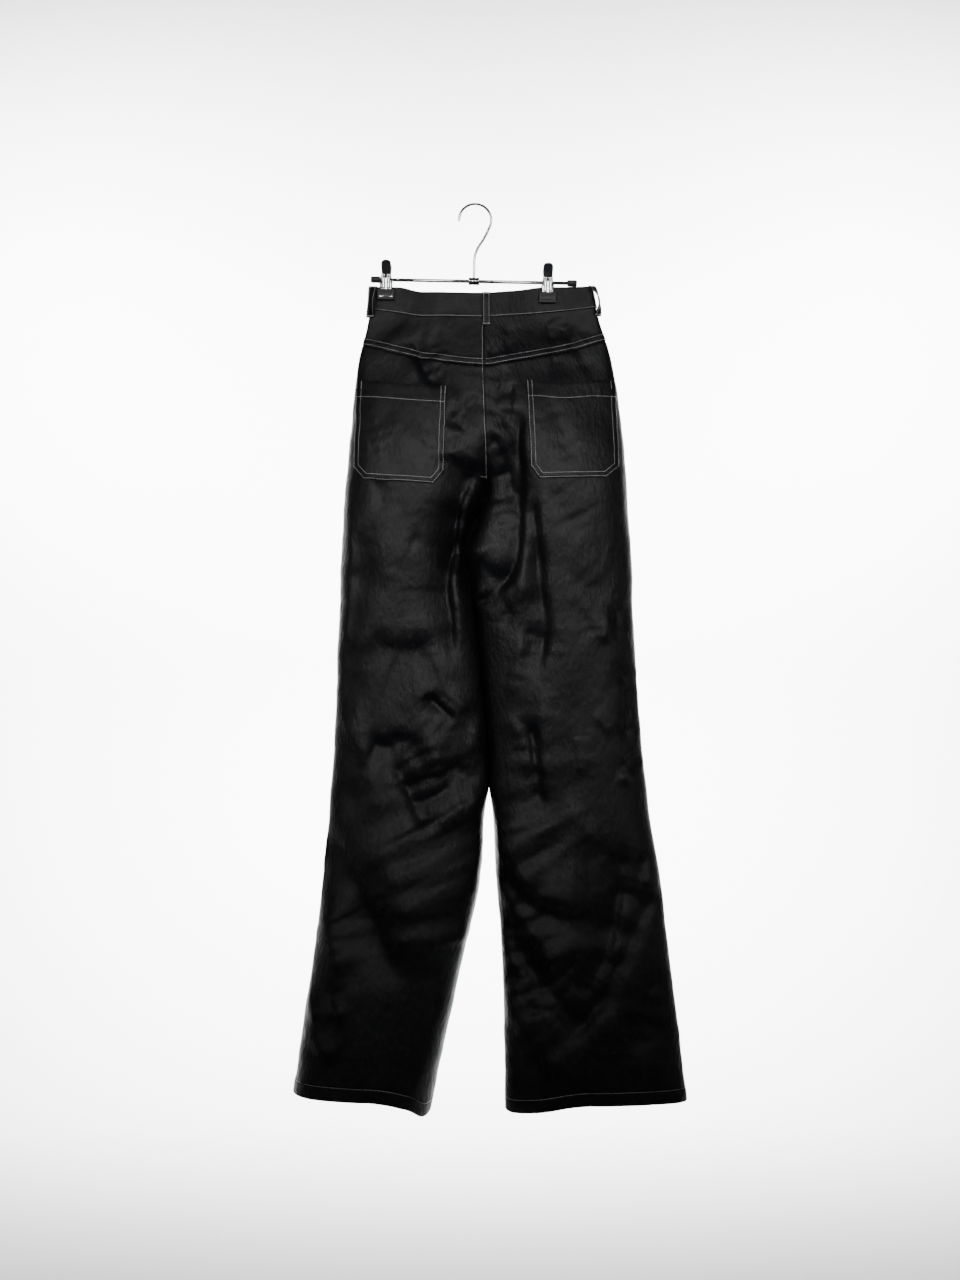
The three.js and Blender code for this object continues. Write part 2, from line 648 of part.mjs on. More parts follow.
// A rubber boot over the foot of a jaw, with a slot for its plate.
function pad() {
  const [low, high] = [PAD.face, PAD.face + PAD.depth];
  const round = 1.2;
  const outline = new THREE.Shape();
  outline.moveTo(low, PAD.bottom);
  outline.lineTo(high - round, PAD.bottom);
  outline.lineTo(high, PAD.bottom + round);
  outline.lineTo(high, PAD.top - round);
  outline.lineTo(high - round, PAD.top);
  outline.lineTo(low, PAD.top);
  const body = solid(extruded(outline, -PAD.width / 2, PAD.width / 2));
  const half = JAW.width / 2 + HANGER.clearance;
  const thick = JAW.metal + 2 * HANGER.clearance;
  const floor = JAW.foot - HANGER.clearance;
  const slot = new THREE.BoxGeometry(2 * half, thick, PAD.top + 1 - floor);
  slot.translate(0, PLATE_Y, (PAD.top + 1 + floor) / 2);
  return body.subtract(solid(slot));
}

// The same solid on the other side of the rod.
function mirrored(manifold) {
  return manifold.rotate([0, 0, 180]);
}

function clip({ side, x }) {
  const group = new THREE.Group();
  group.position.x = x;
  const name = (piece) => "clip_" + side + "_" + piece;
  group.add(named(name("jaw_front"), geometryOf(jaw(0)), "chrome"));
  const inset = JAW.metal + HANGER.clearance;
  group.add(named(name("jaw_back"), geometryOf(mirrored(jaw(inset))), "chrome"));
  group.add(named(name("pad_front"), geometryOf(pad()), "rubber"));
  group.add(named(name("pad_back"), geometryOf(mirrored(pad())), "rubber"));
  group.add(named(name("spring"), sleeve(BORE, SPRING.outer, SPRING.length), "chrome"));
  return group;
}

function cap(side) {
  const { radius, length, cover, round } = CAP;
  const profile = [
    new THREE.Vector2(0, cover + HANGER.clearance),
    new THREE.Vector2(BORE, cover + HANGER.clearance),
    new THREE.Vector2(BORE, 0),
    new THREE.Vector2(radius, 0),
    new THREE.Vector2(radius, length - round),
    new THREE.Vector2(radius - round, length),
    new THREE.Vector2(0, length),
  ];
  const mesh = named("cap_" + side, new THREE.LatheGeometry(profile, 20), "rubber");
  mesh.rotation.z = -sideSign(side) * (Math.PI / 2);
  mesh.position.x = sideSign(side) * (HANGER.rodLength / 2 - cover);
  return mesh;
}

// The hook's wire starts in the collar, rises, and rounds over to its tip.
function hookWire() {
  const centre = HOOK.wire - HOOK.radius;
  const rise = HANGER.rodDrop - HOOK.wire;
  const path = new THREE.CurvePath();
  const at = (degrees) => {
    const angle = degToRad(degrees);
    const [x, z] = [HOOK.radius * Math.cos(angle), centre + HOOK.radius * Math.sin(angle)];
    return new THREE.Vector3(x, 0, z);
  };
  const neck = new THREE.Vector3(0, 0, -HOOK.neck);
  const foot = new THREE.Vector3(0, 0, COLLAR.radius - 1.4 - HANGER.rodDrop);
  const knee = new THREE.Vector3(0, 0, -HOOK.neck + 12);
  path.add(new THREE.LineCurve3(foot, neck));
  const shoulder = at(-30);
  const run = new THREE.Vector3(HOOK.radius * 0.32, 0, -HOOK.radius * 0.55).add(shoulder);
  path.add(new THREE.CubicBezierCurve3(neck, knee, run, shoulder));
  const steps = 12;
  for (let i = 0; i < steps; i++) {
    const [a, b] = [lerp(-30, 205, i / steps), lerp(-30, 205, (i + 1) / steps)];
    path.add(new THREE.LineCurve3(at(a), at(b)));
  }
  return { path, rise };
}

function hook() {
  const { path } = hookWire();
  const points = path.curves.slice(0, 2).flatMap((curve, i) => curve.getPoints(i === 0 ? 2 : 8));
  const bends = path.curves.slice(2).map((curve) => curve.v2);
  const line = [...points, ...bends].filter((p, i, all) => i === 0 || p.distanceTo(all[i - 1]) > 0.1);
  const wireLine = new THREE.CatmullRomCurve3(line, false, "centripetal");
  const round = new THREE.Shape().absarc(0, 0, HOOK.wire, 0, 2 * Math.PI);
  const options = { steps: 44, extrudePath: wireLine, curveSegments: 5 };
  const wire = solid(facingOut(mergeVertices(new THREE.ExtrudeGeometry(round, options))));
  const collar = solid(sleeve(BORE, COLLAR.radius, COLLAR.width));
  return wire.add(collar.translate([0, 0, -HANGER.rodDrop]));
}

// ---------------------------------------------------------------------- putting it together
const trousers = new THREE.Group();
trousers.position.set(CENTRE_X, 0, WAIST_Z);
trousers.add(waistband(), fly(), zip(), waistButton());
for (const side of ["left", "right"]) {
  trousers.add(yoke(side), backPanel(side), frontPanel(side), pocket(side));
}
trousers.add(...LOOPS.map(beltLoop));

const rail = new THREE.Group();
rail.position.z = -HANGER.rodDrop;
const rodShape = new THREE.Shape().absarc(0, 0, HANGER.rodRadius, 0, 2 * Math.PI);
const rodGeometry = extruded(rodShape, -HANGER.rodLength / 2, HANGER.rodLength / 2);
rail.add(named("hanger_rod", rodGeometry, "chrome"));
rail.add(cap("left"), cap("right"), ...CLIPS.map(clip));

const hanger = new THREE.Group();
hanger.rotation.y = degToRad(HANGER.tilt);
hanger.add(rail, named("hook", geometryOf(hook()), "chrome"));

const part = new THREE.Group();
part.add(trousers, hanger);

export default part;
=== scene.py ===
"""Looks of the faux leather trousers on their clip hanger.

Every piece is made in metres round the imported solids. The cloth's own sizes are kept in
millimetres: x from the middle of the cloth, and drop, the distance below the waist line.
"""
import json
import math

import bmesh
import bpy
import numpy as np
from bpy.props import FloatProperty, FloatVectorProperty, PointerProperty
from mathutils import Matrix, Vector

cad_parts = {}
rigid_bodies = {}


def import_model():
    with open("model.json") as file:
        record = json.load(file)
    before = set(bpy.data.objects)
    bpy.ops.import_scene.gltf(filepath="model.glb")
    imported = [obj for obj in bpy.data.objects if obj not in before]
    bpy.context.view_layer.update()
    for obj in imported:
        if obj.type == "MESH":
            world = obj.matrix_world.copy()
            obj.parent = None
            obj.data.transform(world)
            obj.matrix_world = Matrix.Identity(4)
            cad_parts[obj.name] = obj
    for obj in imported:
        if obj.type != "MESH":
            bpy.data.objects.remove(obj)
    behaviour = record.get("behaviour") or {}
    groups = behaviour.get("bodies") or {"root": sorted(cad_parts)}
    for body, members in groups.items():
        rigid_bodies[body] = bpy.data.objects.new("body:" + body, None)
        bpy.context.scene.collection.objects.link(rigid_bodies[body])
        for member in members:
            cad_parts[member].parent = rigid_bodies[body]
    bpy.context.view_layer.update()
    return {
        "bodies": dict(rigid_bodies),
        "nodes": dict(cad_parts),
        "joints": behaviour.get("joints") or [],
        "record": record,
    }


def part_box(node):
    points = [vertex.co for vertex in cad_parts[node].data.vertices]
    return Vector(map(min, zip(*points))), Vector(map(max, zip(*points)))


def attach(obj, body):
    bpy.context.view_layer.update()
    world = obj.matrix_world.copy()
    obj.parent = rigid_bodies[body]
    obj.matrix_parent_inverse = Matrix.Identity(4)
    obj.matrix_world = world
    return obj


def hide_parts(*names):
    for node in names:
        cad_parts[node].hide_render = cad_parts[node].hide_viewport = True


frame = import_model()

bl_info = {
    "name": "Faux Leather Trousers on a Clip Hanger",
    "version": (1, 0, 0),
    "blender": (4, 5, 0),
    "location": "3D View > Sidebar > Trousers",
    "description": "Makes high-waisted faux leather trousers and the clip hanger that holds them",
    "category": "Add Mesh",
}

MM = 0.001


def rows(names, *values):
    """A table: each name with its column of numbers."""
    return {name: np.array(column, float) for name, column in zip(names.split(), zip(*values))}


# ------------------------------------------------------------- sizes of the garment, in mm
CENTRE_X = (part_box("yoke_left")[1].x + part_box("yoke_right")[0].x) / 2 / MM
WAIST_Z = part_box("zip")[1].z / MM + 37
CLOTH = 1.2
BAND_CLOTH = 2.4
LAID = 0.45
SEAM_GAP = 0.3
BOXINESS = 0.8
PRESSED = 0.3
HEM_FOLD = 18.0
PATCH_CLOTH, TAPE_CLOTH = 1.25, 0.7
BAND_MIDDLE, BAND_STEP = 17, 2.6
ZIP_TOP, ZIP_LENGTH, ZIP_HALF = 37.0, 118.0, 13.0
PANEL_LENGTH = {"back": 950.0, "front": 1015.0}
PANEL_GIRTH, YOKE_GIRTH, YOKE_HEIGHT = 235, 155, 56

# Where the stitched lines run inside the edges, and the spacing of the points they follow.
YOKE_LINES, POCKET_LINES, FLY_LINES, LOOP_LINES = (2.0, 8.3), (1.7, 7.0), (1.7, 7.5), (-3.4, 3.4)
MOUTH_LINE, HEM_LINE, CENTRE_LINE = 21.0, 1.5, 2.0
LINE_PITCH = 0.8

SECTIONS = rows(
    "drop left right left_depth right_depth front turn",
    (-12, 145, 138, 11, 11, 1, 0),
    (35, 149, 148, 16, 16, 0.9, 0),
    (90, 161, 164, 31, 31, 0.75, 0),
    (160, 169, 175, 49, 49, 0.7, 6),
    (215, 175, 181, 58, 58, 0.75, 40),
    (278, 180, 186, 60, 60, 0.85, 90),
    (402, 186, 192, 55, 54, 0.9, 90),
    (532, 190, 199, 50, 48, 0.9, 90),
    (634, 196, 208, 47, 44, 0.9, 90),
    (763, 208, 227, 46, 40, 0.9, 90),
    (904, 226, 245, 52, 36, 0.9, 90),
    (1050, 248, 262, 58, 31, 0.9, 90),
)
BETWEEN = rows(
    "drop x gap",
    (100, 0, 0),
    (150, 1.5, -0.5),
    (200, 3.3, -1.05),
    (230, 3.8, -1),
    (259, 4, -0.5),
    (300, -12, -0.9),
    (340, -25, -1.2),
    (376, -18, -1.2),
    (506, -2, -1.2),
    (632, 7, -1),
    (669, 6, 8),
    (763, 6, 21),
    (857, -1, 47),
    (950, -10, 72),
    (1070, -21, 98),
)
LINES = rows(
    "x top band yoke",
    (-165, -5, 23, 70),
    (-112, -4.5, 30, 84),
    (-78, 3, 36, 92),
    (0, 5, 38, 102),
    (40, 1, 34, 95),
    (80, -4.5, 30, 87),
    (125, -4.5, 26, 77),
    (165, -9, 21, 64),
)
HEMS = rows(
    "u left right",
    (0, 1037, 1050),
    (0.5, 1041, 1052),
    (0.7, 1052, 1062),
    (0.85, 1065, 1064),
    (1, 1060, 1060),
)

# Folds on the back: depth (troughs below 0), how far they spread to the left of their path
# and to its right, the shares of their length over which they rise and die away, how soft
# they are (1 is a sharp edge, 2 is round), and the path.
BACK_FOLDS = (
    (-16, 13, 4, 0.12, 0.2, 1.5,
     ((-4, 226), (-20, 252), (-33, 292), (-40, 340),
      (-47, 388), (-41, 428), (-40, 462), (-36, 492))),
    (5, 3, 4, 0.3, 0.3, 1.6,
     ((-12, 240), (-24, 276), (-30, 320), (-35, 352), (-38, 392), (-33, 440), (-31, 470))),
    (-13, 8, 3, 0.15, 0.15, 1.4,
     ((3, 244), (-5, 285), (-16, 322), (-26, 342), (-23, 370), (-17, 400))),
    (-5, 3, 3, 0.3, 0.2, 1.4, ((-10, 350), (-10, 372), (-15, 397))),
    (4, 4, 4, 0.3, 0.3, 1.6, ((-24, 338), (-10, 343), (2, 352))),
    (3, 3, 3, 0.2, 0.3, 1.4, ((-14, 397), (10, 392), (37, 384))),
    (-6, 4, 3, 0.2, 0.3, 1.5, ((-12, 401), (10, 405), (34, 402))),
    (-15, 11, 4, 0.15, 0.15, 1.5,
     ((47, 150), (46, 200), (48, 250), (47, 300), (43, 345), (33, 375), (12, 394), (-8, 400))),
    (-9, 7, 4, 0.2, 0.4, 1.5, ((5, 184), (18, 206), (31, 234), (37, 262), (38, 292))),
    (-5, 7, 6, 0.3, 0.3, 1.8, ((17, 250), (22, 290), (29, 330))),
    (5, 4, 4, 0.3, 0.3, 1.6, ((53, 240), (54, 300), (52, 350), (46, 395), (44, 440))),
    (-12, 6, 5, 0.2, 0.2, 1.5,
     ((60, 236), (65, 300), (70, 350), (75, 400), (79, 440), (73, 480), (63, 516))),
    (-5, 3, 3, 0.3, 0.3, 1.5, ((32, 404), (33, 420), (30, 444))),
    (4, 4, 4, 0.3, 0.4, 1.6, ((48, 432), (45, 470), (34, 512), (27, 545))),
    (-4, 6, 6, 0.3, 0.4, 1.7, ((57, 425), (58, 460), (55, 500))),
    (-7, 5, 6, 0.3, 0.2, 1.6,
     ((-162, 290), (-160, 350), (-163, 400), (-171, 445), (-173, 500), (-176, 545))),
    (4, 4, 4, 0.3, 0.3, 1.6, ((-171, 262), (-170, 350), (-174, 440), (-181, 520))),
    (-7, 24, 11, 0.3, 0.3, 1.8, ((-152, 450), (-128, 462), (-98, 470), (-56, 456))),
    (-9, 4, 5, 0.15, 0.25, 1.5, ((-73, 522), (-55, 540), (-35, 557))),
    (5, 8, 10, 0.3, 0.4, 1.8, ((-60, 570), (-30, 540), (-6, 512))),
    (-8, 16, 9, 0.2, 0.3, 1.7, ((-152, 582), (-126, 590), (-102, 582), (-84, 596), (-72, 610))),
    (-10, 7, 7, 0.2, 0.25, 1.6, ((-122, 606), (-106, 628), (-95, 652), (-83, 678), (-70, 706))),
    (6, 8, 8, 0.3, 0.3, 1.7, ((-78, 566), (-64, 590), (-56, 618), (-50, 648))),
    (-4, 5, 5, 0.3, 0.3, 1.7, ((-92, 592), (-80, 612), (-68, 636))),
    (6, 12, 14, 0.3, 0.2, 1.8, ((-70, 690), (-40, 676), (-14, 661), (2, 652))),
    (-7, 11, 12, 0.3, 0.3, 1.7, ((-44, 602), (-29, 628), (-4, 638))),
    (4, 3, 3, 0.3, 0.3, 1.5, ((-21, 608), (-14, 576), (-1, 548))),
    (3, 2.5, 2.5, 0.3, 0.3, 1.5, ((-10, 600), (-6, 580), (0, 566))),
    (4, 3, 4, 0.2, 0.4, 1.5, ((-184, 548), (-168, 580), (-156, 602), (-154, 644))),
    (4, 5, 6, 0.3, 0.4, 1.7, ((-168, 520), (-158, 570), (-146, 606), (-137, 660), (-130, 704))),
    (-4, 9, 8, 0.3, 0.4, 1.8, ((-186, 640), (-172, 650), (-152, 668))),
    (-11, 20, 14, 0.15, 0.3, 1.7,
     ((-198, 688), (-182, 735), (-163, 774), (-141, 818), (-123, 862), (-110, 904))),
    (14, 26, 46, 0.25, 0.25, 1.9,
     ((-146, 690), (-124, 730), (-110, 760), (-97, 792), (-91, 835), (-88, 890))),
    (6, 10, 12, 0.2, 0.3, 1.7, ((-210, 796), (-197, 840), (-180, 888))),
    (-5, 8, 9, 0.3, 0.4, 1.7, ((-226, 912), (-200, 908), (-170, 908))),
    (6, 9, 11, 0.2, 0.3, 1.7, ((-230, 934), (-200, 930), (-170, 926))),
    (5, 6, 9, 0.2, 0.4, 1.6, ((-230, 948), (-211, 972), (-184, 996))),
    (5, 5, 3, 0.2, 0.3, 1.5, ((28, 546), (45, 568), (56, 592), (60, 638))),
    (-8, 4, 4, 0.2, 0.2, 1.5, ((61, 550), (66, 600), (71, 640), (77, 678))),
    (4, 4, 5, 0.3, 0.3, 1.6, ((71, 505), (74, 560), (78, 610), (82, 665))),
    (3, 3, 3, 0.3, 0.3, 1.5, ((116, 572), (122, 600), (120, 632))),
    (3, 3, 4, 0.3, 0.3, 1.5, ((138, 548), (152, 562), (164, 576))),
    (-4, 7, 7, 0.4, 0.4, 1.7, ((76, 256), (95, 282), (110, 310), (124, 334))),
    (-3, 5, 5, 0.4, 0.4, 1.7, ((98, 358), (128, 388), (166, 414))),
    (-3, 4, 4, 0.4, 0.4, 1.6, ((114, 400), (133, 436), (146, 456))),
    (-7, 4, 5, 0.2, 0.3, 1.5, ((166, 406), (168, 424), (168, 446))),
    (5, 6, 4, 0.3, 0.3, 1.6, ((157, 415), (158, 440), (155, 462))),
    (-7, 4, 4, 0.2, 0.2, 1.5, ((163, 478), (176, 500), (183, 532), (180, 574), (193, 588))),
    (-6, 4, 4, 0.2, 0.2, 1.5, ((184, 600), (192, 605), (202, 612))),
    (4, 5, 4, 0.3, 0.2, 1.6, ((170, 640), (184, 626), (196, 632))),
    (11, 12, 22, 0.15, 0.3, 1.8,
     ((12, 672), (30, 722), (52, 758), (84, 783), (120, 788), (152, 784))),
    (-8, 13, 8, 0.15, 0.3, 1.6, ((19, 748), (46, 781), (80, 804), (115, 812), (148, 805))),
    (8, 8, 11, 0.15, 0.3, 1.6,
     ((18, 762), (36, 790), (56, 822), (76, 852), (94, 880), (108, 902))),
    (-10, 10, 12, 0.15, 0.3, 1.6, ((26, 806), (42, 845), (64, 882), (88, 910), (114, 922))),
    (5, 3, 4, 0.2, 0.2, 1.4, ((26, 860), (42, 871), (50, 888), (42, 903), (27, 906))),
    (-5, 4, 4, 0.3, 0.3, 1.5, ((30, 884), (40, 892), (36, 897))),
    (-6, 5, 5, 0.3, 0.3, 1.6, ((46, 912), (58, 922), (62, 940))),
    (7, 9, 12, 0.15, 0.3, 1.6,
     ((29, 904), (37, 930), (54, 958), (78, 988), (104, 1012), (134, 1030))),
    (-11, 10, 10, 0.2, 0.2, 1.6,
     ((224, 770), (204, 806), (186, 842), (170, 880), (150, 918), (126, 950), (96, 976))),
    (5, 8, 8, 0.3, 0.3, 1.7, ((200, 765), (181, 820), (163, 868), (142, 905), (110, 938))),
    (-8, 6, 6, 0.2, 0.3, 1.6,
     ((186, 700), (178, 742), (171, 792), (160, 845), (146, 888), (122, 928))),
    (-5, 5, 5, 0.2, 0.2, 1.6, ((210, 726), (198, 760), (187, 798))),
    (4, 5, 6, 0.2, 0.3, 1.7, ((216, 734), (212, 756), (206, 782))),
    (-5, 10, 10, 0.2, 0.3, 1.8, ((240, 878), (216, 900), (202, 940), (190, 1000))),
    (-3, 10, 8, 0.4, 0.4, 1.8, ((168, 720), (142, 732), (116, 748))),
    (3, 5, 6, 0.3, 0.3, 1.6, ((104, 648), (120, 680), (138, 704), (152, 720))),
    (-4, 4, 4, 0.3, 0.3, 1.6, ((-138, 246), (-132, 270), (-128, 296))),
    (-3, 6, 5, 0.4, 0.4, 1.7, ((-98, 322), (-86, 326), (-74, 322))),
    (-6, 4, 4, 0.2, 0.3, 1.5, ((-49, 185), (-33, 168), (-19, 153), (-10, 136))),
    (-4, 4, 4, 0.2, 0.3, 1.5, ((-49, 214), (-38, 204), (-29, 193))),
    (-4, 3, 2.5, 0.2, 0.3, 1.4, ((-46, 214), (-40, 226), (-26, 232), (-10, 235))),
    (3, 2.5, 2.5, 0.3, 0.3, 1.5, ((-40, 128), (-37, 150), (-45, 168))),
    (-3.5, 3, 3, 0.3, 0.3, 1.5, ((28, 42), (30, 68), (28, 92))),
    (-5, 4, 4, 0.2, 0.3, 1.5, ((27, 98), (24, 125), (14, 152), (4, 174))),
    (3, 3, 3, 0.3, 0.3, 1.6, ((20, 104), (16, 128), (8, 150))),
    (-6, 4, 3, 0.2, 0.3, 1.5, ((37, 122), (34, 150), (30, 188))),
    (-3, 5, 5, 0.3, 0.4, 1.7, ((4, 78), (12, 84), (22, 92))),
    (-8, 5, 8, 0.2, 0.15, 1.5, ((-93, 60), (-86, 78), (-80, 100), (-70, 120), (-52, 129))),
    (2.5, 3, 3, 0.3, 0.3, 1.6, ((-96, 88), (-88, 106), (-79, 122))),
    (3, 14, 12, 0.4, 0.4, 1.9, ((-120, 50), (-108, 60), (-98, 74))),
    (-5, 5, 6, 0.2, 0.3, 1.6, ((81, 34), (87, 62), (90, 92), (93, 122))),
    (-3, 9, 6, 0.3, 0.3, 1.7, ((84, 136), (93, 166), (103, 200), (113, 236))),
    (-5, 5, 5, 0.2, 0.3, 1.6, ((97, 38), (112, 66), (128, 96), (145, 124))),
    (3, 4, 4, 0.3, 0.3, 1.7, ((110, 38), (124, 64), (140, 92))),
    (-2.5, 5, 6, 0.3, 0.3, 1.7, ((-151, 166), (-143, 196), (-135, 234))),
    (1.5, 4, 4, 0.3, 0.3, 1.7, ((-146, 158), (-135, 196), (-128, 236))),
    (-1.5, 5, 5, 0.3, 0.3, 1.7, ((-82, 192), (-72, 187), (-58, 192))),
    (-1.5, 5, 5, 0.3, 0.3, 1.7, ((-72, 214), (-64, 208), (-54, 204))),
    (-2, 3, 3, 0.3, 0.3, 1.6, ((-64, 32), (-44, 28), (-20, 22))),
    (-2.5, 4, 4, 0.2, 0.4, 1.6, ((-126, 24), (-108, 18), (-92, 15))),
    (-2.5, 4, 4, 0.3, 0.3, 1.6, ((-70, 78), (-62, 62), (-56, 48))),
)
FRONT_FOLDS = (
    (-13, 8, 5, 0.2, 0.3, 1.6, ((-22, 238), (-48, 290), (-66, 350), (-78, 440))),
    (-13, 5, 8, 0.2, 0.3, 1.6, ((26, 240), (50, 296), (64, 360), (78, 430))),
    (-9, 6, 4, 0.2, 0.3, 1.5, ((-8, 258), (-22, 300), (-30, 352))),
    (-8, 4, 6, 0.2, 0.3, 1.5, ((16, 258), (24, 306), (16, 356))),
    (6, 5, 5, 0.3, 0.3, 1.7, ((-38, 262), (-54, 318), (-62, 390))),
    (5, 5, 5, 0.3, 0.3, 1.7, ((40, 262), (57, 330), (62, 392))),
    (-5, 7, 6, 0.3, 0.4, 1.7, ((-112, 34), (-96, 90), (-88, 170))),
    (-5, 7, 6, 0.3, 0.4, 1.7, ((84, 34), (92, 96), (104, 180))),
    (-4, 6, 6, 0.3, 0.4, 1.7, ((-134, 60), (-140, 130), (-128, 210))),
    (3, 8, 8, 0.4, 0.4, 1.8, ((128, 70), (136, 150), (126, 220))),
    (-8, 14, 10, 0.3, 0.3, 1.7, ((-180, 556), (-120, 604), (-52, 590))),
    (6, 11, 12, 0.3, 0.3, 1.8, ((-172, 610), (-112, 660), (-44, 640))),
    (-8, 14, 10, 0.3, 0.3, 1.7, ((48, 640), (128, 656), (190, 590))),
    (6, 10, 12, 0.3, 0.3, 1.8, ((52, 690), (118, 716), (186, 650))),
    (-6, 7, 6, 0.3, 0.3, 1.6, ((-60, 480), (-92, 520), (-140, 530))),
    (-7, 5, 6, 0.2, 0.3, 1.5, ((60, 500), (72, 560), (70, 620))),
    (12, 24, 40, 0.2, 0.3, 1.9, ((-186, 730), (-150, 830), (-128, 930))),
    (-9, 12, 15, 0.2, 0.3, 1.7, ((-206, 800), (-176, 880), (-150, 960))),
    (10, 12, 20, 0.2, 0.3, 1.8, ((30, 790), (90, 862), (160, 880))),
    (-9, 13, 9, 0.2, 0.3, 1.6, ((34, 850), (96, 906), (168, 908))),
    (-9, 10, 10, 0.2, 0.3, 1.6, ((222, 800), (190, 880), (130, 960))),
    (5, 8, 10, 0.3, 0.3, 1.7, ((-70, 920), (-112, 980), (-160, 1020))),
    (6, 9, 11, 0.3, 0.3, 1.7, ((46, 930), (90, 990), (140, 1024))),
    (-6, 5, 6, 0.3, 0.3, 1.6, ((-170, 330), (-166, 420), (-176, 520))),
    (-6, 5, 6, 0.3, 0.3, 1.6, ((172, 360), (170, 440), (186, 540))),
)

CLIP_NAMES = ("left", "right")
RAIL_MIDDLE = sum(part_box("hanger_rod"), Vector()) / 2
CAP_LEFT, CAP_RIGHT = (sum(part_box("cap_" + side), Vector()) / 2 for side in CLIP_NAMES)
RAIL_WAY = (CAP_RIGHT - CAP_LEFT).normalized()
TILT = -math.atan2(RAIL_WAY.z, RAIL_WAY.x)
CLIP_PLACES = {
    side: sum(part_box("clip_" + side + "_spring"), Vector()) / 2 for side in CLIP_NAMES
}
PAD = {"width": 22.0, "top": -13.0, "bottom": -27.0, "face": 3.3, "depth": 4.2, "rib": 1.9}
JAW = {"metal": 0.9, "width": 13.5, "foot": -25.5, "top": 23.0, "flare": 15.0, "plate": 5.4}
EAR_RADII = (2.6, 4.0)
GRIP_HALF = PAD["width"] / 2 + 1.5
GRIPS = [CLIP_PLACES[side].x / MM - CENTRE_X for side in CLIP_NAMES]


# ------------------------------------------------------------------- plain sums on arrays
def lerp(low, high, share):
    """From low, at a share of 0, to high, at a share of 1."""
    return low + (high - low) * share


def smoothstep(value, low, high):
    """0 below low, 1 above high, and smooth between."""
    t = np.clip((value - low) / (high - low), 0, 1)
    return t * t * (3 - 2 * t)


def bump_at(distance, width):
    """1 at no distance, dying away over about that width."""
    return np.exp(-((distance / width) ** 2))


def along(table, key, at, by="drop"):
    """A smooth curve through one column of a table, which never swings past its rows."""
    xs, ys = table[by], table[key]
    at = np.clip(np.asarray(at, float), xs[0], xs[-1])
    i = np.clip(np.searchsorted(xs, at, side="right") - 1, 0, len(xs) - 2)
    slope = np.diff(ys) / np.diff(xs)
    before, after = slope[:-1], slope[1:]
    total = np.where(before + after == 0, 1, before + after)
    inner = np.where(before * after > 0, 2 * before * after / total, 0)
    tangent = np.concatenate([slope[:1], inner, slope[-1:]])
    span = xs[i + 1] - xs[i]
    t = (at - xs[i]) / span
    start = (1 + 2 * t) * (1 - t) ** 2 * ys[i]
    end = t * t * (3 - 2 * t) * ys[i + 1]
    return start + end + span * t * (1 - t) * ((1 - t) * tangent[i] - t * tangent[i + 1])


def lattice_noise(seed, a, b):
    """Smooth noise from -1 to 1 over cells one unit wide."""
    cells = 64
    values = np.random.default_rng(seed).uniform(-1, 1, (cells, cells))
    i, j = np.floor(a).astype(int), np.floor(b).astype(int)
    s, t = smoothstep(a - i, 0, 1), smoothstep(b - j, 0, 1)
    i, j, k, m = i % cells, j % cells, (i + 1) % cells, (j + 1) % cells
    return lerp(lerp(values[i, j], values[k, j], s), lerp(values[i, m], values[k, m], s), t)


def graded(length, step, fine=0.9, zone=5.0):
    """Shares from 0 to 1 along a length, closer together near both ends."""
    edge = np.arange(0, zone, fine)
    count = max(2, round((length - 2 * zone) / step) + 1)
    middle = np.linspace(zone, length - zone, count)
    return np.concatenate([edge, middle, length - edge[::-1]]) / length


def running(points):
    """How far along a line each of its points lies."""
    return np.concatenate([[0], np.cumsum(np.linalg.norm(np.diff(points, axis=0), axis=1))])


def interpolated(at, run, points):
    """Points at distances along a line, run being how far along it its own points lie."""
    return np.stack([np.interp(at, run, column) for column in points.T], -1)


def smooth_path(points, cells=8):
    """A curve through points, as closely spaced points."""
    p = np.array(points, float)
    p = np.concatenate([2 * p[:1] - p[1:2], p, 2 * p[-1:] - p[-2:-1]])
    t = np.linspace(0, 1, cells, endpoint=False)[:, None]
    parts = [
        0.5
        * (
            2 * p[i]
            + (p[i + 1] - p[i - 1]) * t
            + (2 * p[i - 1] - 5 * p[i] + 4 * p[i + 1] - p[i + 2]) * t**2
            + (3 * p[i] - p[i - 1] - 3 * p[i + 1] + p[i + 2]) * t**3
        )
        for i in range(1, len(p) - 2)
    ]
    return np.concatenate([*parts, p[-2:-1]])


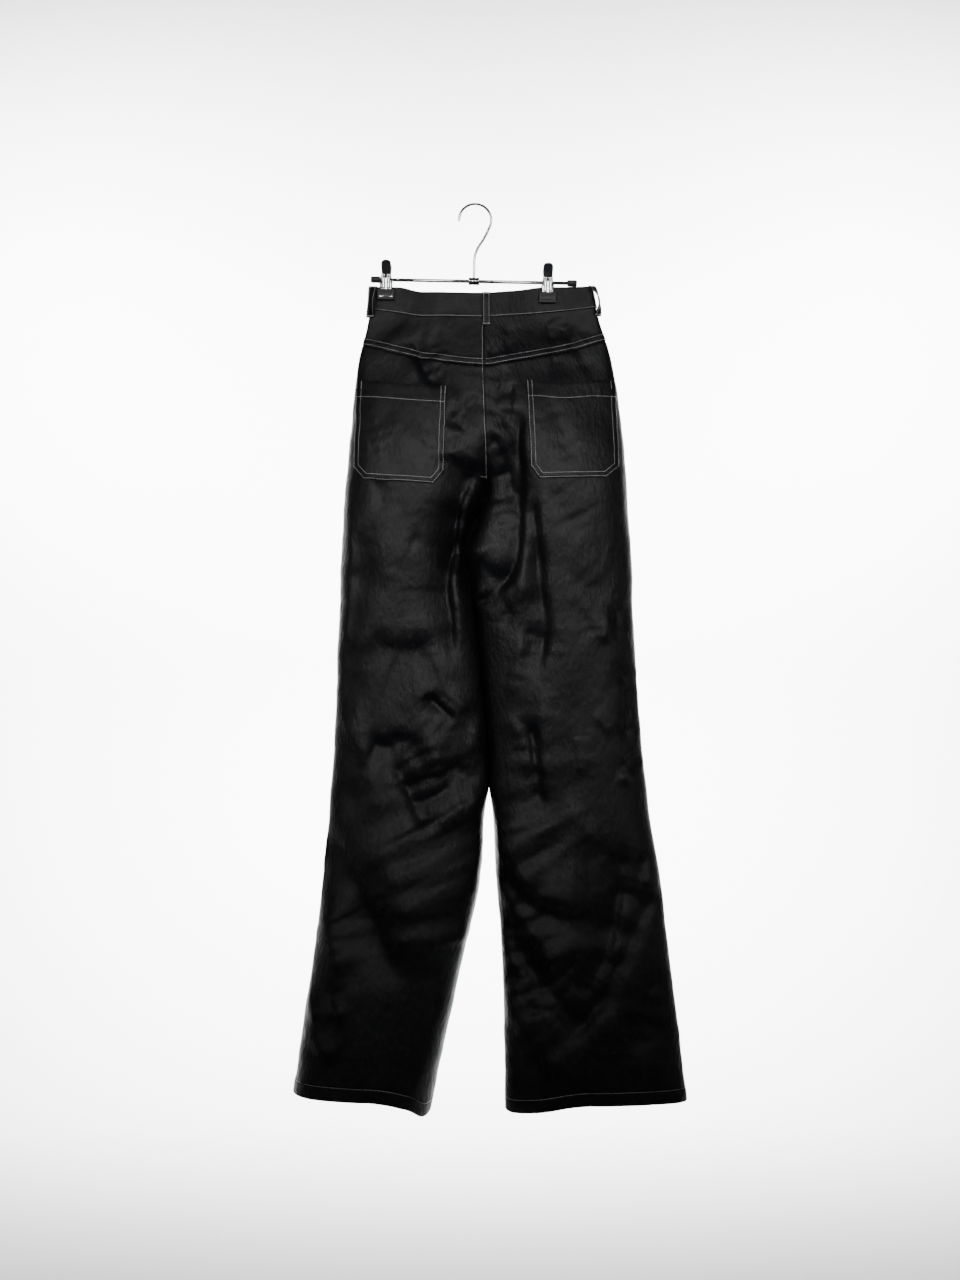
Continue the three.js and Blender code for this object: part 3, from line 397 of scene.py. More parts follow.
# ------------------------------------------------------------------------------ the form
class Crease:
    """One fold in the cloth, a trough or a ridge along a path."""

    def __init__(self, depth, left, right, start, end, soft, path, seed):
        rng = np.random.default_rng(seed)
        deep = min(1.0, (depth / 9) ** 2)
        if abs(left - right) < 1.5:
            left, right = (left * 1.8, right) if rng.random() < 0.5 else (left, right * 1.8)
        wide, steep = 2.1, lerp(1.35, 1.15, deep)
        self.depth, self.soft = depth * lerp(0.9, 1.0, deep), soft
        spread = (wide, steep) if left > right else (steep, wide)
        self.left, self.right = left * spread[0], right * spread[1]
        self.start, self.end = start, end
        self.line = smooth_path(path)
        self.line[1:-1] += rng.normal(0, 0.35, (len(self.line) - 2, 2))
        self.way = np.diff(self.line, axis=0)
        run = running(self.line)
        self.share = run / run[-1]
        self.phase = rng.uniform(0, 2 * math.pi, 3)
        reach = 3.2 * max(self.left, self.right)
        self.low, self.high = self.line.min(0) - reach, self.line.max(0) + reach

    def near(self, x, drop):
        """Which points the crease can reach."""
        (left, top), (right, bottom) = self.low, self.high
        return (x > left) & (x < right) & (drop > top) & (drop < bottom)

    def height(self, x, drop):
        """How far it lifts the cloth at points."""
        offset = np.stack([x, drop], -1)[:, None] - self.line[None, :-1]
        length = (self.way**2).sum(-1)
        t = np.clip((offset * self.way).sum(-1) / length, 0, 1)
        away = offset - t[..., None] * self.way
        distance = np.hypot(away[..., 0], away[..., 1])
        best = distance.argmin(1)
        every = np.arange(len(best))
        way, offset = self.way[best], offset[every, best]
        share = lerp(self.share[best], self.share[best + 1], t[every, best])
        side = way[:, 0] * offset[:, 1] - way[:, 1] * offset[:, 0]
        wave = np.sin(8 * share + self.phase[0]), np.sin(21 * share + self.phase[1])
        width = np.where(side > 0, self.left, self.right) * (1 + 0.2 * wave[1])
        fade = smoothstep(share, 0, self.start) * (1 - smoothstep(share, 1 - self.end, 1))
        uneven = 1 + 0.2 * wave[0] + 0.12 * np.sin(33 * share + self.phase[2])
        return self.depth * fade * uneven * np.exp(-((distance[every, best] / width) ** self.soft))


def small_creases(count, seed):
    """Short faint creases, scattered down the legs."""
    rng = np.random.default_rng(seed)
    found = []
    for _ in range(count):
        drop = rng.uniform(115, 1020)
        side = rng.choice((-1, 1))
        x = side * rng.uniform(15, 165 + 0.05 * drop)
        lean = rng.normal(0, 0.55) + (0.5 * side if drop < 420 else 0)
        length = rng.uniform(25, 90)
        way = np.array([math.sin(lean), math.cos(lean)]) * length / 2
        bend = np.array([way[1], -way[0]]) * rng.uniform(-0.25, 0.25)
        middle = np.array([x, drop])
        depth = rng.uniform(0.3, 1.0) * rng.choice((-1, -1, 1))
        wide = rng.uniform(2.5, 6.5)
        other = wide * rng.uniform(0.7, 1.4)
        path = (middle - way, middle + bend, middle + way)
        found.append(Crease(depth, wide, other, 0.4, 0.4, 1.4, path, seed + len(found)))
    return found


class Relief:
    """How far one face's folds lift the cloth, worked out once on a fine grid and softened."""

    step, softness = 1.5, 1.25

    def __init__(self, creases):
        self.x, self.drop = np.arange(-270, 300, self.step), np.arange(-30, 1120, self.step)
        x, drop = np.meshgrid(self.x, self.drop)
        height = np.zeros(x.shape)
        for crease in creases:
            near = crease.near(x, drop)
            height[near] += crease.height(x[near], drop[near])
        share = np.exp(-0.5 * (np.arange(-5, 6) / self.softness) ** 2)
        for axis in (0, 1):
            height = np.apply_along_axis(np.convolve, axis, height, share / share.sum(), "same")
        self.height = height

    def at(self, x, drop):
        """The lift at points between those of the grid."""
        across = np.clip((x - self.x[0]) / self.step, 0, len(self.x) - 1.001)
        down = np.clip((drop - self.drop[0]) / self.step, 0, len(self.drop) - 1.001)
        i, j = across.astype(int), down.astype(int)
        upper, lower = (
            lerp(self.height[row, i], self.height[row, i + 1], across - i) for row in (j, j + 1)
        )
        return lerp(upper, lower, down - j)


RELIEFS = {
    face: Relief([Crease(*row, k) for k, row in enumerate(folds, seed)] + small_creases(*small))
    for face, folds, seed, small in (
        ("back", BACK_FOLDS, 0, (60, 500)), ("front", FRONT_FOLDS, 100, (55, 900))
    )
}


def fold_height(face, x, drop):
    """How far the folds and the faint waviness lift the cloth, without the seams' hold."""
    height = RELIEFS[face].at(x, drop)
    seed = 11 if face == "back" else 41
    loose = smoothstep(drop, 60, 200)
    slanted = x / 15 + 0.2 * drop / 15
    height += lerp(0.4, 2.0, loose) * lattice_noise(seed, x / 38 + 20, drop / 90)
    height += lerp(0.2, 0.45, loose) * lattice_noise(seed + 1, slanted + 20, drop / 34)
    height += 0.06 * lattice_noise(seed + 2, x / 6 + 20, drop / 8)
    return height


def pinch(face, x, drop):
    """How hard the clips press front and back together at a point, from 0 to 1."""
    fade = 1 - 0.75 * smoothstep(drop, 18, 95) - 0.25 * smoothstep(drop, 80, 170)
    reach = (60 if face == "back" else 16) + 0.3 * np.maximum(0, drop)
    press = [1 - smoothstep(np.abs(x - grip) - GRIP_HALF, 0, reach) for grip in GRIPS]
    return fade * np.maximum(*press)


class Quarter:
    """The cloth of one side on one face. A share runs from the side seam (0) to the centre
    seam or inseam (1); an even share does so in even steps along the cloth."""

    def __init__(self, side, face):
        self.side, self.face = side, face
        self.sign = -1 if side == "left" else 1
        self.out = -1 if face == "back" else 1
        self.drops = np.linspace(-16, 1096, 279)
        shares, even = np.linspace(0, 1, 241), np.linspace(0, 1, 161)
        x, y, _ = self.form(shares[None], self.drops[:, None])
        steps = np.hypot(np.diff(x, axis=1), np.diff(y, axis=1))
        run = np.concatenate([np.zeros((len(x), 1)), np.cumsum(steps, axis=1)], axis=1)
        self.girths = run[:, -1]
        self.table = np.array([np.interp(even * row[-1], row, shares) for row in run])

    def form(self, share, drop):
        """x, y and the angle round the leg of the smooth form, before it is draped."""
        share, drop = np.broadcast_arrays(np.asarray(share, float), np.asarray(drop, float))
        turn = np.radians(along(SECTIONS, "turn", drop))
        outer = along(SECTIONS, self.side, drop)
        line = self.sign * along(BETWEEN, "x", drop)
        inner = line + along(BETWEEN, "gap", drop) / 2 + SEAM_GAP / 2 + CLOTH * np.sin(turn)
        half = (outer - inner) / (1 + np.sin(turn) ** BOXINESS)
        angle = share * (math.pi / 2 + turn)
        across = np.cos(angle)
        x = self.sign * (outer - half * (1 - np.sign(across) * np.abs(across) ** BOXINESS))
        front = 1 if self.face == "back" else along(SECTIONS, "front", drop)
        depth = front * along(SECTIONS, self.side + "_depth", drop)
        bulge = depth * np.maximum(0, np.sin(angle)) ** BOXINESS
        y = lerp(bulge, np.minimum(bulge, PRESSED), pinch(self.face, x, drop)) + SEAM_GAP / 2
        return x, self.out * y, angle

    def girth(self, drop):
        """From the side seam to the centre seam or inseam, along the cloth."""
        return np.interp(drop, self.drops, self.girths)

    def share(self, even, drop):
        """The share at an even share."""
        last_row, last = np.array(self.table.shape) - 1
        row = (np.asarray(drop, float) - self.drops[0]) / np.diff(self.drops[:2])
        row = np.clip(row, 0, last_row - 1e-6)
        cell = np.clip(np.asarray(even, float) * last, 0, last - 1e-6)
        row, cell = np.broadcast_arrays(row, cell)
        i, j = row.astype(int), cell.astype(int)
        s, t = row - i, cell - j
        upper = lerp(self.table[i, j], self.table[i, j + 1], t)
        return lerp(upper, lerp(self.table[i + 1, j], self.table[i + 1, j + 1], t), s)

    def share_at_x(self, x, drop):
        """The share at a place across, as seen from behind or in front."""
        turn = np.radians(along(SECTIONS, "turn", drop))
        outer = along(SECTIONS, self.side, drop)
        half = (outer - self.sign * self.form(1, drop)[0]) / (1 + np.sin(turn) ** BOXINESS)
        across = 1 - (outer - self.sign * x) / half
        angle = np.arccos(np.clip(np.sign(across) * np.abs(across) ** (1 / BOXINESS), -1, 1))
        return np.clip(angle / (math.pi / 2 + turn), 0, 1)

    def even_at_x(self, x, drop):
        """The even share at a place across."""
        evens = np.linspace(0, 1, 500)
        found = self.sign * self.form(self.share(evens, drop), drop)[0]
        return float(np.interp(-self.sign * x, -found, evens))

    def line(self, key, share):
        """The drop of a seam line at a share."""
        first = along(LINES, key, self.form(share, 60)[0], "x")
        return along(LINES, key, self.form(share, first)[0], "x")

    def hem(self, share):
        return along(HEMS, self.side, share, "u")

    def base(self, share, drop):
        """Points of the draped cloth's inner face."""
        x, y, angle = self.form(share, drop)
        drop = np.broadcast_to(np.asarray(drop, float), x.shape)
        free = smoothstep(np.sin(angle), 0, 0.34)
        gripped = pinch(self.face, x, drop) * (1 - smoothstep(drop, 20, 34))
        y = y + self.out * free * (1 - gripped) * fold_height(self.face, x, drop)
        seed, level = 70 + self.sign, 0 * drop
        waver = 0.9 * lattice_noise(seed, drop / 46, level)
        waver = waver + 0.4 * lattice_noise(seed + 5, drop / 13, level)
        outside = smoothstep(np.cos(angle), 0.3, 1) * smoothstep(drop, 40, 90)
        inside = smoothstep(-np.cos(angle), 0.3, 1) * smoothstep(drop, 560, 680)
        x = x + self.sign * waver * (outside - inside)
        return np.stack([x, y, -drop], -1)

    def cloth(self, share, drop, lift=0.0):
        """Points lift millimetres out from the cloth's inner face, and the outward ways."""
        share, drop = np.broadcast_arrays(np.asarray(share, float), np.asarray(drop, float))
        low, high = np.clip(share - 0.004, 0, 1), np.clip(share + 0.004, 0, 1)
        across = self.base(high, drop) - self.base(low, drop)
        down = self.base(share, drop + 1.2) - self.base(share, drop - 1.2)
        normal = np.cross(across, down) * self.sign * -self.out
        normal /= np.linalg.norm(normal, axis=-1, keepdims=True)
        lift = np.broadcast_to(np.asarray(lift, float), share.shape)[..., None]
        return self.base(share, drop) + normal * lift, normal

    def even_cloth(self, even, drop, lift=0.0):
        return self.cloth(self.share(even, drop), drop, lift)


QUARTERS = {(side, face): Quarter(side, face) for side in CLIP_NAMES for face in ("back", "front")}


def on_face(face, x, drop, lift):
    """Points of one face at places across, and the outward ways there."""
    x, drop, lift = np.broadcast_arrays(*(np.asarray(v, float) for v in (x, drop, lift)))
    points, normals = np.zeros((*x.shape, 3)), np.zeros((*x.shape, 3))
    is_left = x < along(BETWEEN, "x", drop)
    for side, chosen in (("left", is_left), ("right", ~is_left)):
        quarter = QUARTERS[side, face]
        share = quarter.share_at_x(x[chosen], drop[chosen])
        points[chosen], normals[chosen] = quarter.cloth(share, drop[chosen], lift[chosen])
    return points, normals


def in_place(points):
    """The garment's own millimetres as places in the part, in metres."""
    return (np.asarray(points) + np.array([CENTRE_X, 0, WAIST_Z])) * MM


# -------------------------------------------------------------------------- making meshes
def corners(mesh):
    flat = np.zeros(len(mesh.vertices) * 3)
    mesh.vertices.foreach_get("co", flat)
    return flat.reshape(-1, 3)


def set_corners(mesh, points):
    """Moves a mesh's corners to points."""
    mesh.vertices.foreach_set("co", np.ascontiguousarray(points, float).ravel())
    mesh.update()


def set_layout(mesh, layout):
    """Gives each corner its place on the flat cloth, in metres."""
    loops = np.zeros(len(mesh.loops), int)
    mesh.loops.foreach_get("vertex_index", loops)
    layer = mesh.uv_layers.new(name="cloth")
    layer.data.foreach_set("uv", np.ascontiguousarray(layout[loops] * MM, float).ravel())


def mesh_of(bm, name):
    mesh = bpy.data.meshes.new(name)
    bm.to_mesh(mesh)
    bm.free()
    return mesh


def grid(name, across, down):
    """A flat grid and the across and down values of its corners."""
    bm = bmesh.new()
    bmesh.ops.create_grid(bm, x_segments=len(across) - 1, y_segments=len(down) - 1, size=1)
    mesh = mesh_of(bm, name)
    flat = corners(mesh)
    i = np.rint((flat[:, 0] + 1) / 2 * (len(across) - 1)).astype(int)
    j = np.rint((flat[:, 1] + 1) / 2 * (len(down) - 1)).astype(int)
    return mesh, np.asarray(across, float)[i], np.asarray(down, float)[j]


def face_out(mesh, outward):
    """Turns the faces round if they look the other way from outward, one way a corner."""
    normals = np.zeros(len(mesh.vertices) * 3)
    mesh.vertices.foreach_get("normal", normals)
    if (normals.reshape(-1, 3) * outward).sum() < 0:
        mesh.flip_normals()


def closed_strip(name, mesh):
    """Joins the grid's two long edges and fills its ends."""
    bm = bmesh.new()
    bm.from_mesh(mesh)
    bmesh.ops.remove_doubles(bm, verts=bm.verts[:], dist=1e-7)
    bmesh.ops.holes_fill(bm, edges=[e for e in bm.edges if e.is_boundary], sides=0)
    bmesh.ops.triangulate(bm, faces=[f for f in bm.faces if len(f.verts) > 4])
    bmesh.ops.recalc_face_normals(bm, faces=bm.faces[:])
    bpy.data.meshes.remove(mesh)
    return mesh_of(bm, name)


def add_piece(name, mesh, finishes, slot, *nodes):
    """Puts a finished mesh into the scene in place of its solids."""
    mesh.name = name
    for finish_name in finishes:
        mesh.materials.append(finish(finish_name))
    mesh.polygons.foreach_set("use_smooth", [True] * len(mesh.polygons))
    piece = bpy.data.objects.new(name, mesh)
    bpy.context.scene.collection.objects.link(piece)
    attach(piece, "root")
    if nodes:
        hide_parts(*nodes)
    return piece


def thicken(piece, thickness, backing=True):
    """Gives a sheet its thickness, inwards, with the next finish on its inner face."""
    shell = piece.modifiers.new("thickness", "SOLIDIFY")
    shell.thickness = thickness * MM
    shell.offset = -1
    shell.use_even_offset = False
    shell.material_offset = 1 if backing else 0
    return piece


def add_shell(node, mesh, thickness=None):
    """Adds a piece of coated cloth in place of its solid, from the mesh of its outer face."""
    finishes = ["faux_leather", "knit_backing"]
    piece = add_piece(node + "_shell", mesh, finishes, "faux_leather", node)
    return thicken(piece, thickness) if thickness else piece


def bevelled(bm, width, segments):
    """Rounds every edge."""
    bmesh.ops.bevel(
        bm,
        geom=bm.edges[:],
        offset=width,
        segments=segments,
        profile=0.5,
        affect="EDGES",
        material=-1,
    )


def add_box(bm, size, middle):
    """Adds a box, which a bevel finishes."""
    verts = bmesh.ops.create_cube(bm, size=1)["verts"]
    bmesh.ops.scale(bm, vec=size, verts=verts)
    bmesh.ops.translate(bm, vec=middle, verts=verts)


def swept(name, points, radius, cyclic=False):
    """A round wire along points in metres, as a mesh."""
    curve = bpy.data.curves.new(name, "CURVE")
    curve.dimensions = "3D"
    spline = curve.splines.new("POLY")
    spline.points.add(len(points) - 1)
    spline.points.foreach_set("co", np.c_[points, np.ones(len(points))].ravel())
    spline.use_cyclic_u = cyclic
    curve.bevel_depth = radius
    curve.bevel_resolution = 4
    curve.use_fill_caps = True
    holder = bpy.data.objects.new(name, curve)
    mesh = bpy.data.meshes.new_from_object(holder)
    bpy.data.objects.remove(holder)
    bpy.data.curves.remove(curve)
    return mesh


def joined(name, meshes):
    """One mesh of several, which are used up."""
    bm = bmesh.new()
    for mesh in meshes:
        bm.from_mesh(mesh)
        bpy.data.meshes.remove(mesh)
    return mesh_of(bm, name)


# ------------------------------------------------------------------------------ finishes
class Signal:
    """A value in a finish, which can be used in sums."""

    def __init__(self, paint, socket):
        self.paint, self.socket = paint, socket

    def _sum(self, operation, first, second):
        return self.paint.node("ShaderNodeMath", {"operation": operation}, {0: first, 1: second})

    def __add__(self, other):
        return self._sum("ADD", self, other)

    def __sub__(self, other):
        return self._sum("SUBTRACT", self, other)

    def __rsub__(self, other):
        return self._sum("SUBTRACT", other, self)

    def __mul__(self, other):
        return self._sum("MULTIPLY", self, other)

    __radd__, __rmul__ = __add__, __mul__


class Paint:
    """A finish and its nodes."""

    def __init__(self, name):
        self.material = bpy.data.materials.new("trousers_" + name)
        self.material.use_nodes = True
        self.tree = self.material.node_tree
        self.tree.nodes.clear()

    def node(self, kind, settings=(), inputs=(), output=0):
        made = self.tree.nodes.new(kind)
        for key, value in dict(settings).items():
            setattr(made, key, value)
        for key, value in dict(inputs).items():
            if isinstance(value, Signal):
                self.tree.links.new(value.socket, made.inputs[key])
            else:
                made.inputs[key].default_value = value
        return Signal(self, made.outputs[output])

    def flat_cloth(self):
        """The place on the flat cloth, in metres."""
        return self.node("ShaderNodeUVMap", {"uv_map": "cloth"})

    def solid(self):
        """The place in the piece, in metres."""
        return self.node("ShaderNodeTexCoord", {}, {}, "Object")

    def noise(self, where, scale, detail=2.0, roughness=0.5):
        sockets = {"Vector": where, "Scale": scale, "Detail": detail, "Roughness": roughness}
        return self.node("ShaderNodeTexNoise", {}, sockets)

    def cells(self, where, scale, feature="F1"):
        sockets = {"Vector": where, "Scale": scale}
        return self.node("ShaderNodeTexVoronoi", {"feature": feature}, sockets)

    def bands(self, where, way, scale, distortion, detail=2.0):
        settings = {"wave_type": "BANDS", "bands_direction": way}
        sockets = {"Vector": where, "Scale": scale, "Distortion": distortion, "Detail": detail}
        return self.node("ShaderNodeTexWave", settings, sockets)

    def stretch(self, where, sizes):
        """The same place, measured with other sizes along each way."""
        return self.node("ShaderNodeVectorMath", {"operation": "MULTIPLY"}, {0: where, 1: sizes})

    def blend(self, share, first, second):
        settings = {"data_type": "RGBA", "clamp_factor": True}
        return self.node("ShaderNodeMix", settings, {0: share, 6: first, 7: second}, 2)

    def ramp(self, value, low, high):
        """0 below low, 1 above high, and smooth between."""
        settings = {"interpolation_type": "SMOOTHSTEP"}
        return self.node("ShaderNodeMapRange", settings, {0: value, 1: low, 2: high})

    def bump(self, height, distance, strength=1.0, under=None):
        sockets = {"Height": height, "Distance": distance, "Strength": strength}
        if under:
            sockets["Normal"] = under
        return self.node("ShaderNodeBump", {}, sockets)

    def surface(self, **sockets):
        inputs = {key.replace("_", " "): value for key, value in sockets.items()}
        shader = self.node("ShaderNodeBsdfPrincipled", {}, inputs)
        out = self.tree.nodes.new("ShaderNodeOutputMaterial")
        self.tree.links.new(shader.socket, out.inputs["Surface"])
        return self.material


def shade(colour, amount=1.0):
    """A colour made lighter or darker."""
    return tuple(channel * amount for channel in colour[:3]) + (1.0,)


def faux_leather(looks):
    """Black coated cloth: a fine pebble grain, satin, with faint scuffs and cloudy wear."""
    paint = Paint("faux_leather")
    where = paint.flat_cloth()
    grain = 1 / looks.grain
    pebbles = paint.cells(where, grain)
    furrows = paint.cells(where, grain * 0.62, "DISTANCE_TO_EDGE")
    clouds = paint.noise(where, 11, 3, 0.55)
    blotches = paint.noise(where, 55, 3, 0.6)
    speckle = paint.noise(where, 420, 4, 0.7)
    fine = paint.noise(where, 2400, 2)
    cool, warm = shade(looks.leather_low), shade(looks.leather)
    warmth = paint.blend(paint.ramp(clouds, 0.35, 0.68), cool, warm)
    worn = paint.ramp(speckle * 0.6 + blotches * 0.4, 0.44, 0.66)
    colour = paint.blend(worn, shade(looks.leather_low, 0.7), warmth)
    dull = looks.leather_roughness + 0.12 * (clouds - 0.5) + 0.14 * (blotches - 0.5)
    dull = dull + 0.35 * (speckle - 0.5) + 0.04 * pebbles
    pebbled = paint.ramp(furrows, 0.0, 0.22) + 0.5 * (1 - pebbles) + 0.25 * fine
    skin = paint.bump(pebbled, 0.00008, 0.9)
    tall = paint.stretch(where, (1.0, 0.4, 1.0))
    crinkle = paint.bump(paint.noise(tall, 220, 3, 0.6), 0.0014, 1.0, skin)
    ripple = paint.bump(paint.noise(tall, 60, 3, 0.5), 0.0013, 1.0, crinkle)
    return paint.surface(
        Base_Color=colour,
        Roughness=dull,
        Normal=ripple,
        IOR=1.5,
        Specular_IOR_Level=0.25,
    )


def knit_backing(looks):
    """The light knitted side of the coated cloth."""
    paint = Paint("knit_backing")
    where = paint.flat_cloth()
    ribs = paint.bands(where, "X", 330, 1.2, 1)
    courses = paint.bands(where, "Y", 410, 1.6, 1)
    fuzz = paint.noise(where, 900, 3)
    colour = paint.blend(ribs * 0.5 + fuzz * 0.4, shade(looks.backing, 0.62), shade(looks.backing))
    knit = paint.bump(ribs * courses + 0.3 * fuzz, 0.00018, 0.9)
    return paint.surface(
        Base_Color=colour,
        Roughness=0.92 - 0.08 * fuzz,
        Normal=knit,
        Sheen_Weight=0.25,
        Sheen_Roughness=0.5,
    )


def thread(looks):
    """Spun polyester topstitching thread, light grey, with fine fibre noise."""
    paint = Paint("thread")
    where = paint.solid()
    fibres = paint.noise(where, 5200, 2)
    patches = paint.noise(where, 46, 2)
    low, high = shade(looks.thread, 0.66), shade(looks.thread, 1.12)
    colour = paint.blend(0.7 * patches + 0.4 * fibres, low, high)
    return paint.surface(
        Base_Color=colour,
        Roughness=0.7 - 0.15 * fibres,
        Normal=paint.bump(fibres, 0.00008, 0.7),
        Sheen_Weight=0.15,
    )


def zip_tape(looks):
    """Woven black tape."""
    paint = Paint("zip_tape")
    weave = paint.bands(paint.flat_cloth(), "DIAGONAL", 420, 0.6)
    colour = paint.blend(weave, shade(looks.leather, 0.7), shade(looks.leather, 1.8))
    return paint.surface(
        Base_Color=colour, Roughness=0.86 - 0.1 * weave, Normal=paint.bump(weave, 0.0001, 0.7)
    )


def metal(name, colour, roughness, scuffed, dented=0.0):
    """Polished metal with fine scratches and dull smears."""
    paint = Paint(name)
    where = paint.solid()
    smears = paint.noise(where, 90, 3, 0.6)
    scratches = paint.noise(paint.stretch(where, (900, 900, 60)), 1, 2)
    rough = roughness + scuffed * paint.ramp(smears, 0.45, 0.8) + 0.05 * scratches
    tint = paint.blend(smears, shade(colour, 0.6), shade(colour))
    dents = paint.bump(paint.noise(where, 240, 2, 0.5), 0.0012, dented)
    return paint.surface(
        Base_Color=tint,
        Metallic=1.0,
        Roughness=rough,
        Normal=paint.bump(scratches, 0.00002, 0.35, dents),
    )


def chromed_steel(looks):
    return metal("chromed_steel", looks.chrome, 0.1, 0.12, 0.16)


def zip_metal(looks):
    return metal("zip_metal", (0.5, 0.5, 0.52), 0.26, 0.1)


def black_rubber(looks):
    """Black rubber with a little dust."""
    paint = Paint("black_rubber")
    where = paint.solid()
    dust = paint.noise(where, 260, 4, 0.65)
    pores = paint.noise(where, 1800, 2)
    dusty = paint.ramp(dust, 0.5, 0.78) * 0.5
    colour = paint.blend(dusty, shade(looks.rubber), shade(looks.rubber, 4))
    return paint.surface(
        Base_Color=colour,
        Roughness=0.5 + 0.22 * (dust - 0.5) + 0.05 * pores,
        Normal=paint.bump(pores + 0.5 * dust, 0.00006, 0.6),
    )


def button(looks):
    """Glossy black with a faint swirl."""
    paint = Paint("button")
    swirl = paint.noise(paint.solid(), 140, 4, 0.6)
    dark, light = shade((0.006, 0.006, 0.007)), shade((0.022, 0.021, 0.022))
    colour = paint.blend(paint.ramp(swirl, 0.4, 0.75), dark, light)
    return paint.surface(
        Base_Color=colour,
        Roughness=0.2 + 0.12 * swirl,
        Normal=paint.bump(swirl, 0.00005, 0.4),
        Coat_Weight=0.4,
    )


def stage(looks):
    """The plain pale floor."""
    paint = Paint("stage")
    tone = paint.noise(paint.solid(), 1.5, 2)
    colour = paint.blend(tone, shade((0.80, 0.80, 0.80)), shade((0.84, 0.84, 0.84)))
    return paint.surface(Base_Color=colour, Roughness=0.9 + 0.05 * tone)


MAKERS = (faux_leather, knit_backing, thread, zip_tape, zip_metal)
MAKERS += (chromed_steel, black_rubber, button, stage)
FINISHES = {maker.__name__: maker for maker in MAKERS}


def finish(name):
    """The material of that name, made the first time that it is asked for."""
    found = bpy.data.materials.get("trousers_" + name)
    return found or FINISHES[name](bpy.context.scene.trousers_looks)


# ------------------------------------------------------------------------- the leg panels
def hem_layers(below, hem):
    """The cloth's lift and drop beyond the hem line, where it is folded up inside: below
    runs from 0 at the hem line to 1 at the end of the fold."""
    outer, inner = CLOTH + 0.4, -0.5
    turn = math.pi * np.clip(below / 0.12, 0, 1)
    middle, radius = (outer + inner) / 2, (outer - inner) / 2
    lift = middle + radius * np.cos(turn)
    up = HEM_FOLD * np.clip((below - 0.12) / 0.88, 0, 1)
    return lift, hem + 0.8 * np.sin(turn) - up


def leg_panel(side, face, cell, near_foot=26, foot_cell=1.3):
    """A leg panel, from its top seam to the turned-up hem, with closer rows near its foot."""
    quarter = QUARTERS[side, face]
    top_key = "yoke" if face == "back" else "band"
    length = PANEL_LENGTH[face]
    across, down = (graded(size, cell, 0.9, 5.4) for size in (PANEL_GIRTH, length))
    near_hem = np.arange(length - near_foot, length, foot_cell) / length
    down = np.unique(np.round([*down[down < near_hem[0]], *near_hem[1:], 1], 5))
    turned = 1 + np.concatenate([np.linspace(0.02, 0.12, 6), np.linspace(0.2, 1, 7)])
    mesh, even, level = grid(f"{face}_{side}", across, np.concatenate([down, turned]))
    flat = np.minimum(level, 1)
    share = quarter.share(even, lerp(100, 1050, flat))  # near enough to place both seams
    top = quarter.line(top_key, share)
    hem = quarter.hem(share)
    drop = lerp(top, hem, flat)
    share = quarter.share(even, drop)
    girth = quarter.girth(drop)
    above_hem = hem - drop
    from_side, from_centre, from_top = even * girth, (1 - even) * girth, drop - top
    meeting = smoothstep(drop, 160, 195) * (1 - smoothstep(drop, 640, 664))
    seams = bump_at(from_side, 1.7) + bump_at(from_centre, 1.7) * (1 - meeting)
    pressed_open = smoothstep(-np.minimum(from_side, from_centre), -12, -9)
    lift = CLOTH - 0.75 * seams + 0.15 * pressed_open - 0.9 * bump_at(from_top, 1.8)
    doubled = 1 - smoothstep(above_hem, HEM_FOLD - 2.2, HEM_FOLD - 1)
    pucker = lattice_noise(31 + len(side), from_side / 7, above_hem / 30)
    lift += doubled * (0.4 + 0.22 * pucker) - 0.35 * bump_at(above_hem - HEM_FOLD + 1.5, 1.0)
    below = np.maximum(level - 1, 0)
    turned_lift, turned_drop = hem_layers(below, hem)
    lift, drop = np.where(below > 0, turned_lift, lift), np.where(below > 0, turned_drop, drop)
    points, normals = quarter.cloth(share, drop, lift)
    unrolled = np.where(below > 0, hem + HEM_FOLD * below, drop)
    set_corners(mesh, in_place(points))
    set_layout(mesh, np.stack([from_side, unrolled], -1))
    normals[below > 0.06] = 0
    face_out(mesh, normals)
    return mesh


def yoke_panel(side, cell, near_foot=13, foot_cell=0.9):
    """A back yoke, from the waistband to the seam that it overlaps."""
    quarter = QUARTERS[side, "back"]
    near_seam = 1 - np.arange(0, near_foot, foot_cell) / YOKE_HEIGHT
    down = np.unique(np.round([*graded(YOKE_HEIGHT, 1.6, 0.8, 4), *near_seam], 4))
    mesh, even, level = grid("yoke_" + side, graded(YOKE_GIRTH, cell * 0.8, 0.8, 4), down)
    share = quarter.share(even, 60)
    top = quarter.line("band", share) - 1.2
    bottom = quarter.line("yoke", share)
    drop = lerp(top, bottom, level)
    share = quarter.share(even, drop)
    girth = quarter.girth(drop)
    above = bottom - drop
    from_side, from_centre = even * girth, (1 - even) * girth
    lift = CLOTH - 0.75 * (bump_at(from_side, 1.6) + bump_at(from_centre, 1.6))
    lift += 0.5 * (1 - smoothstep(above, 9.5, 11)) - 1.0 * bump_at(above, 0.7)
    for line in YOKE_LINES:
        lift -= 0.22 * bump_at(above - line, 0.8)
    lift += 0.12 * lattice_noise(57, from_side / 5, above / 12) * (1 - smoothstep(above, 9, 12))
    points, normals = quarter.cloth(share, drop, lift)
    set_corners(mesh, in_place(points))
    set_layout(mesh, np.stack([from_side, drop], -1))
    face_out(mesh, normals)
    return mesh


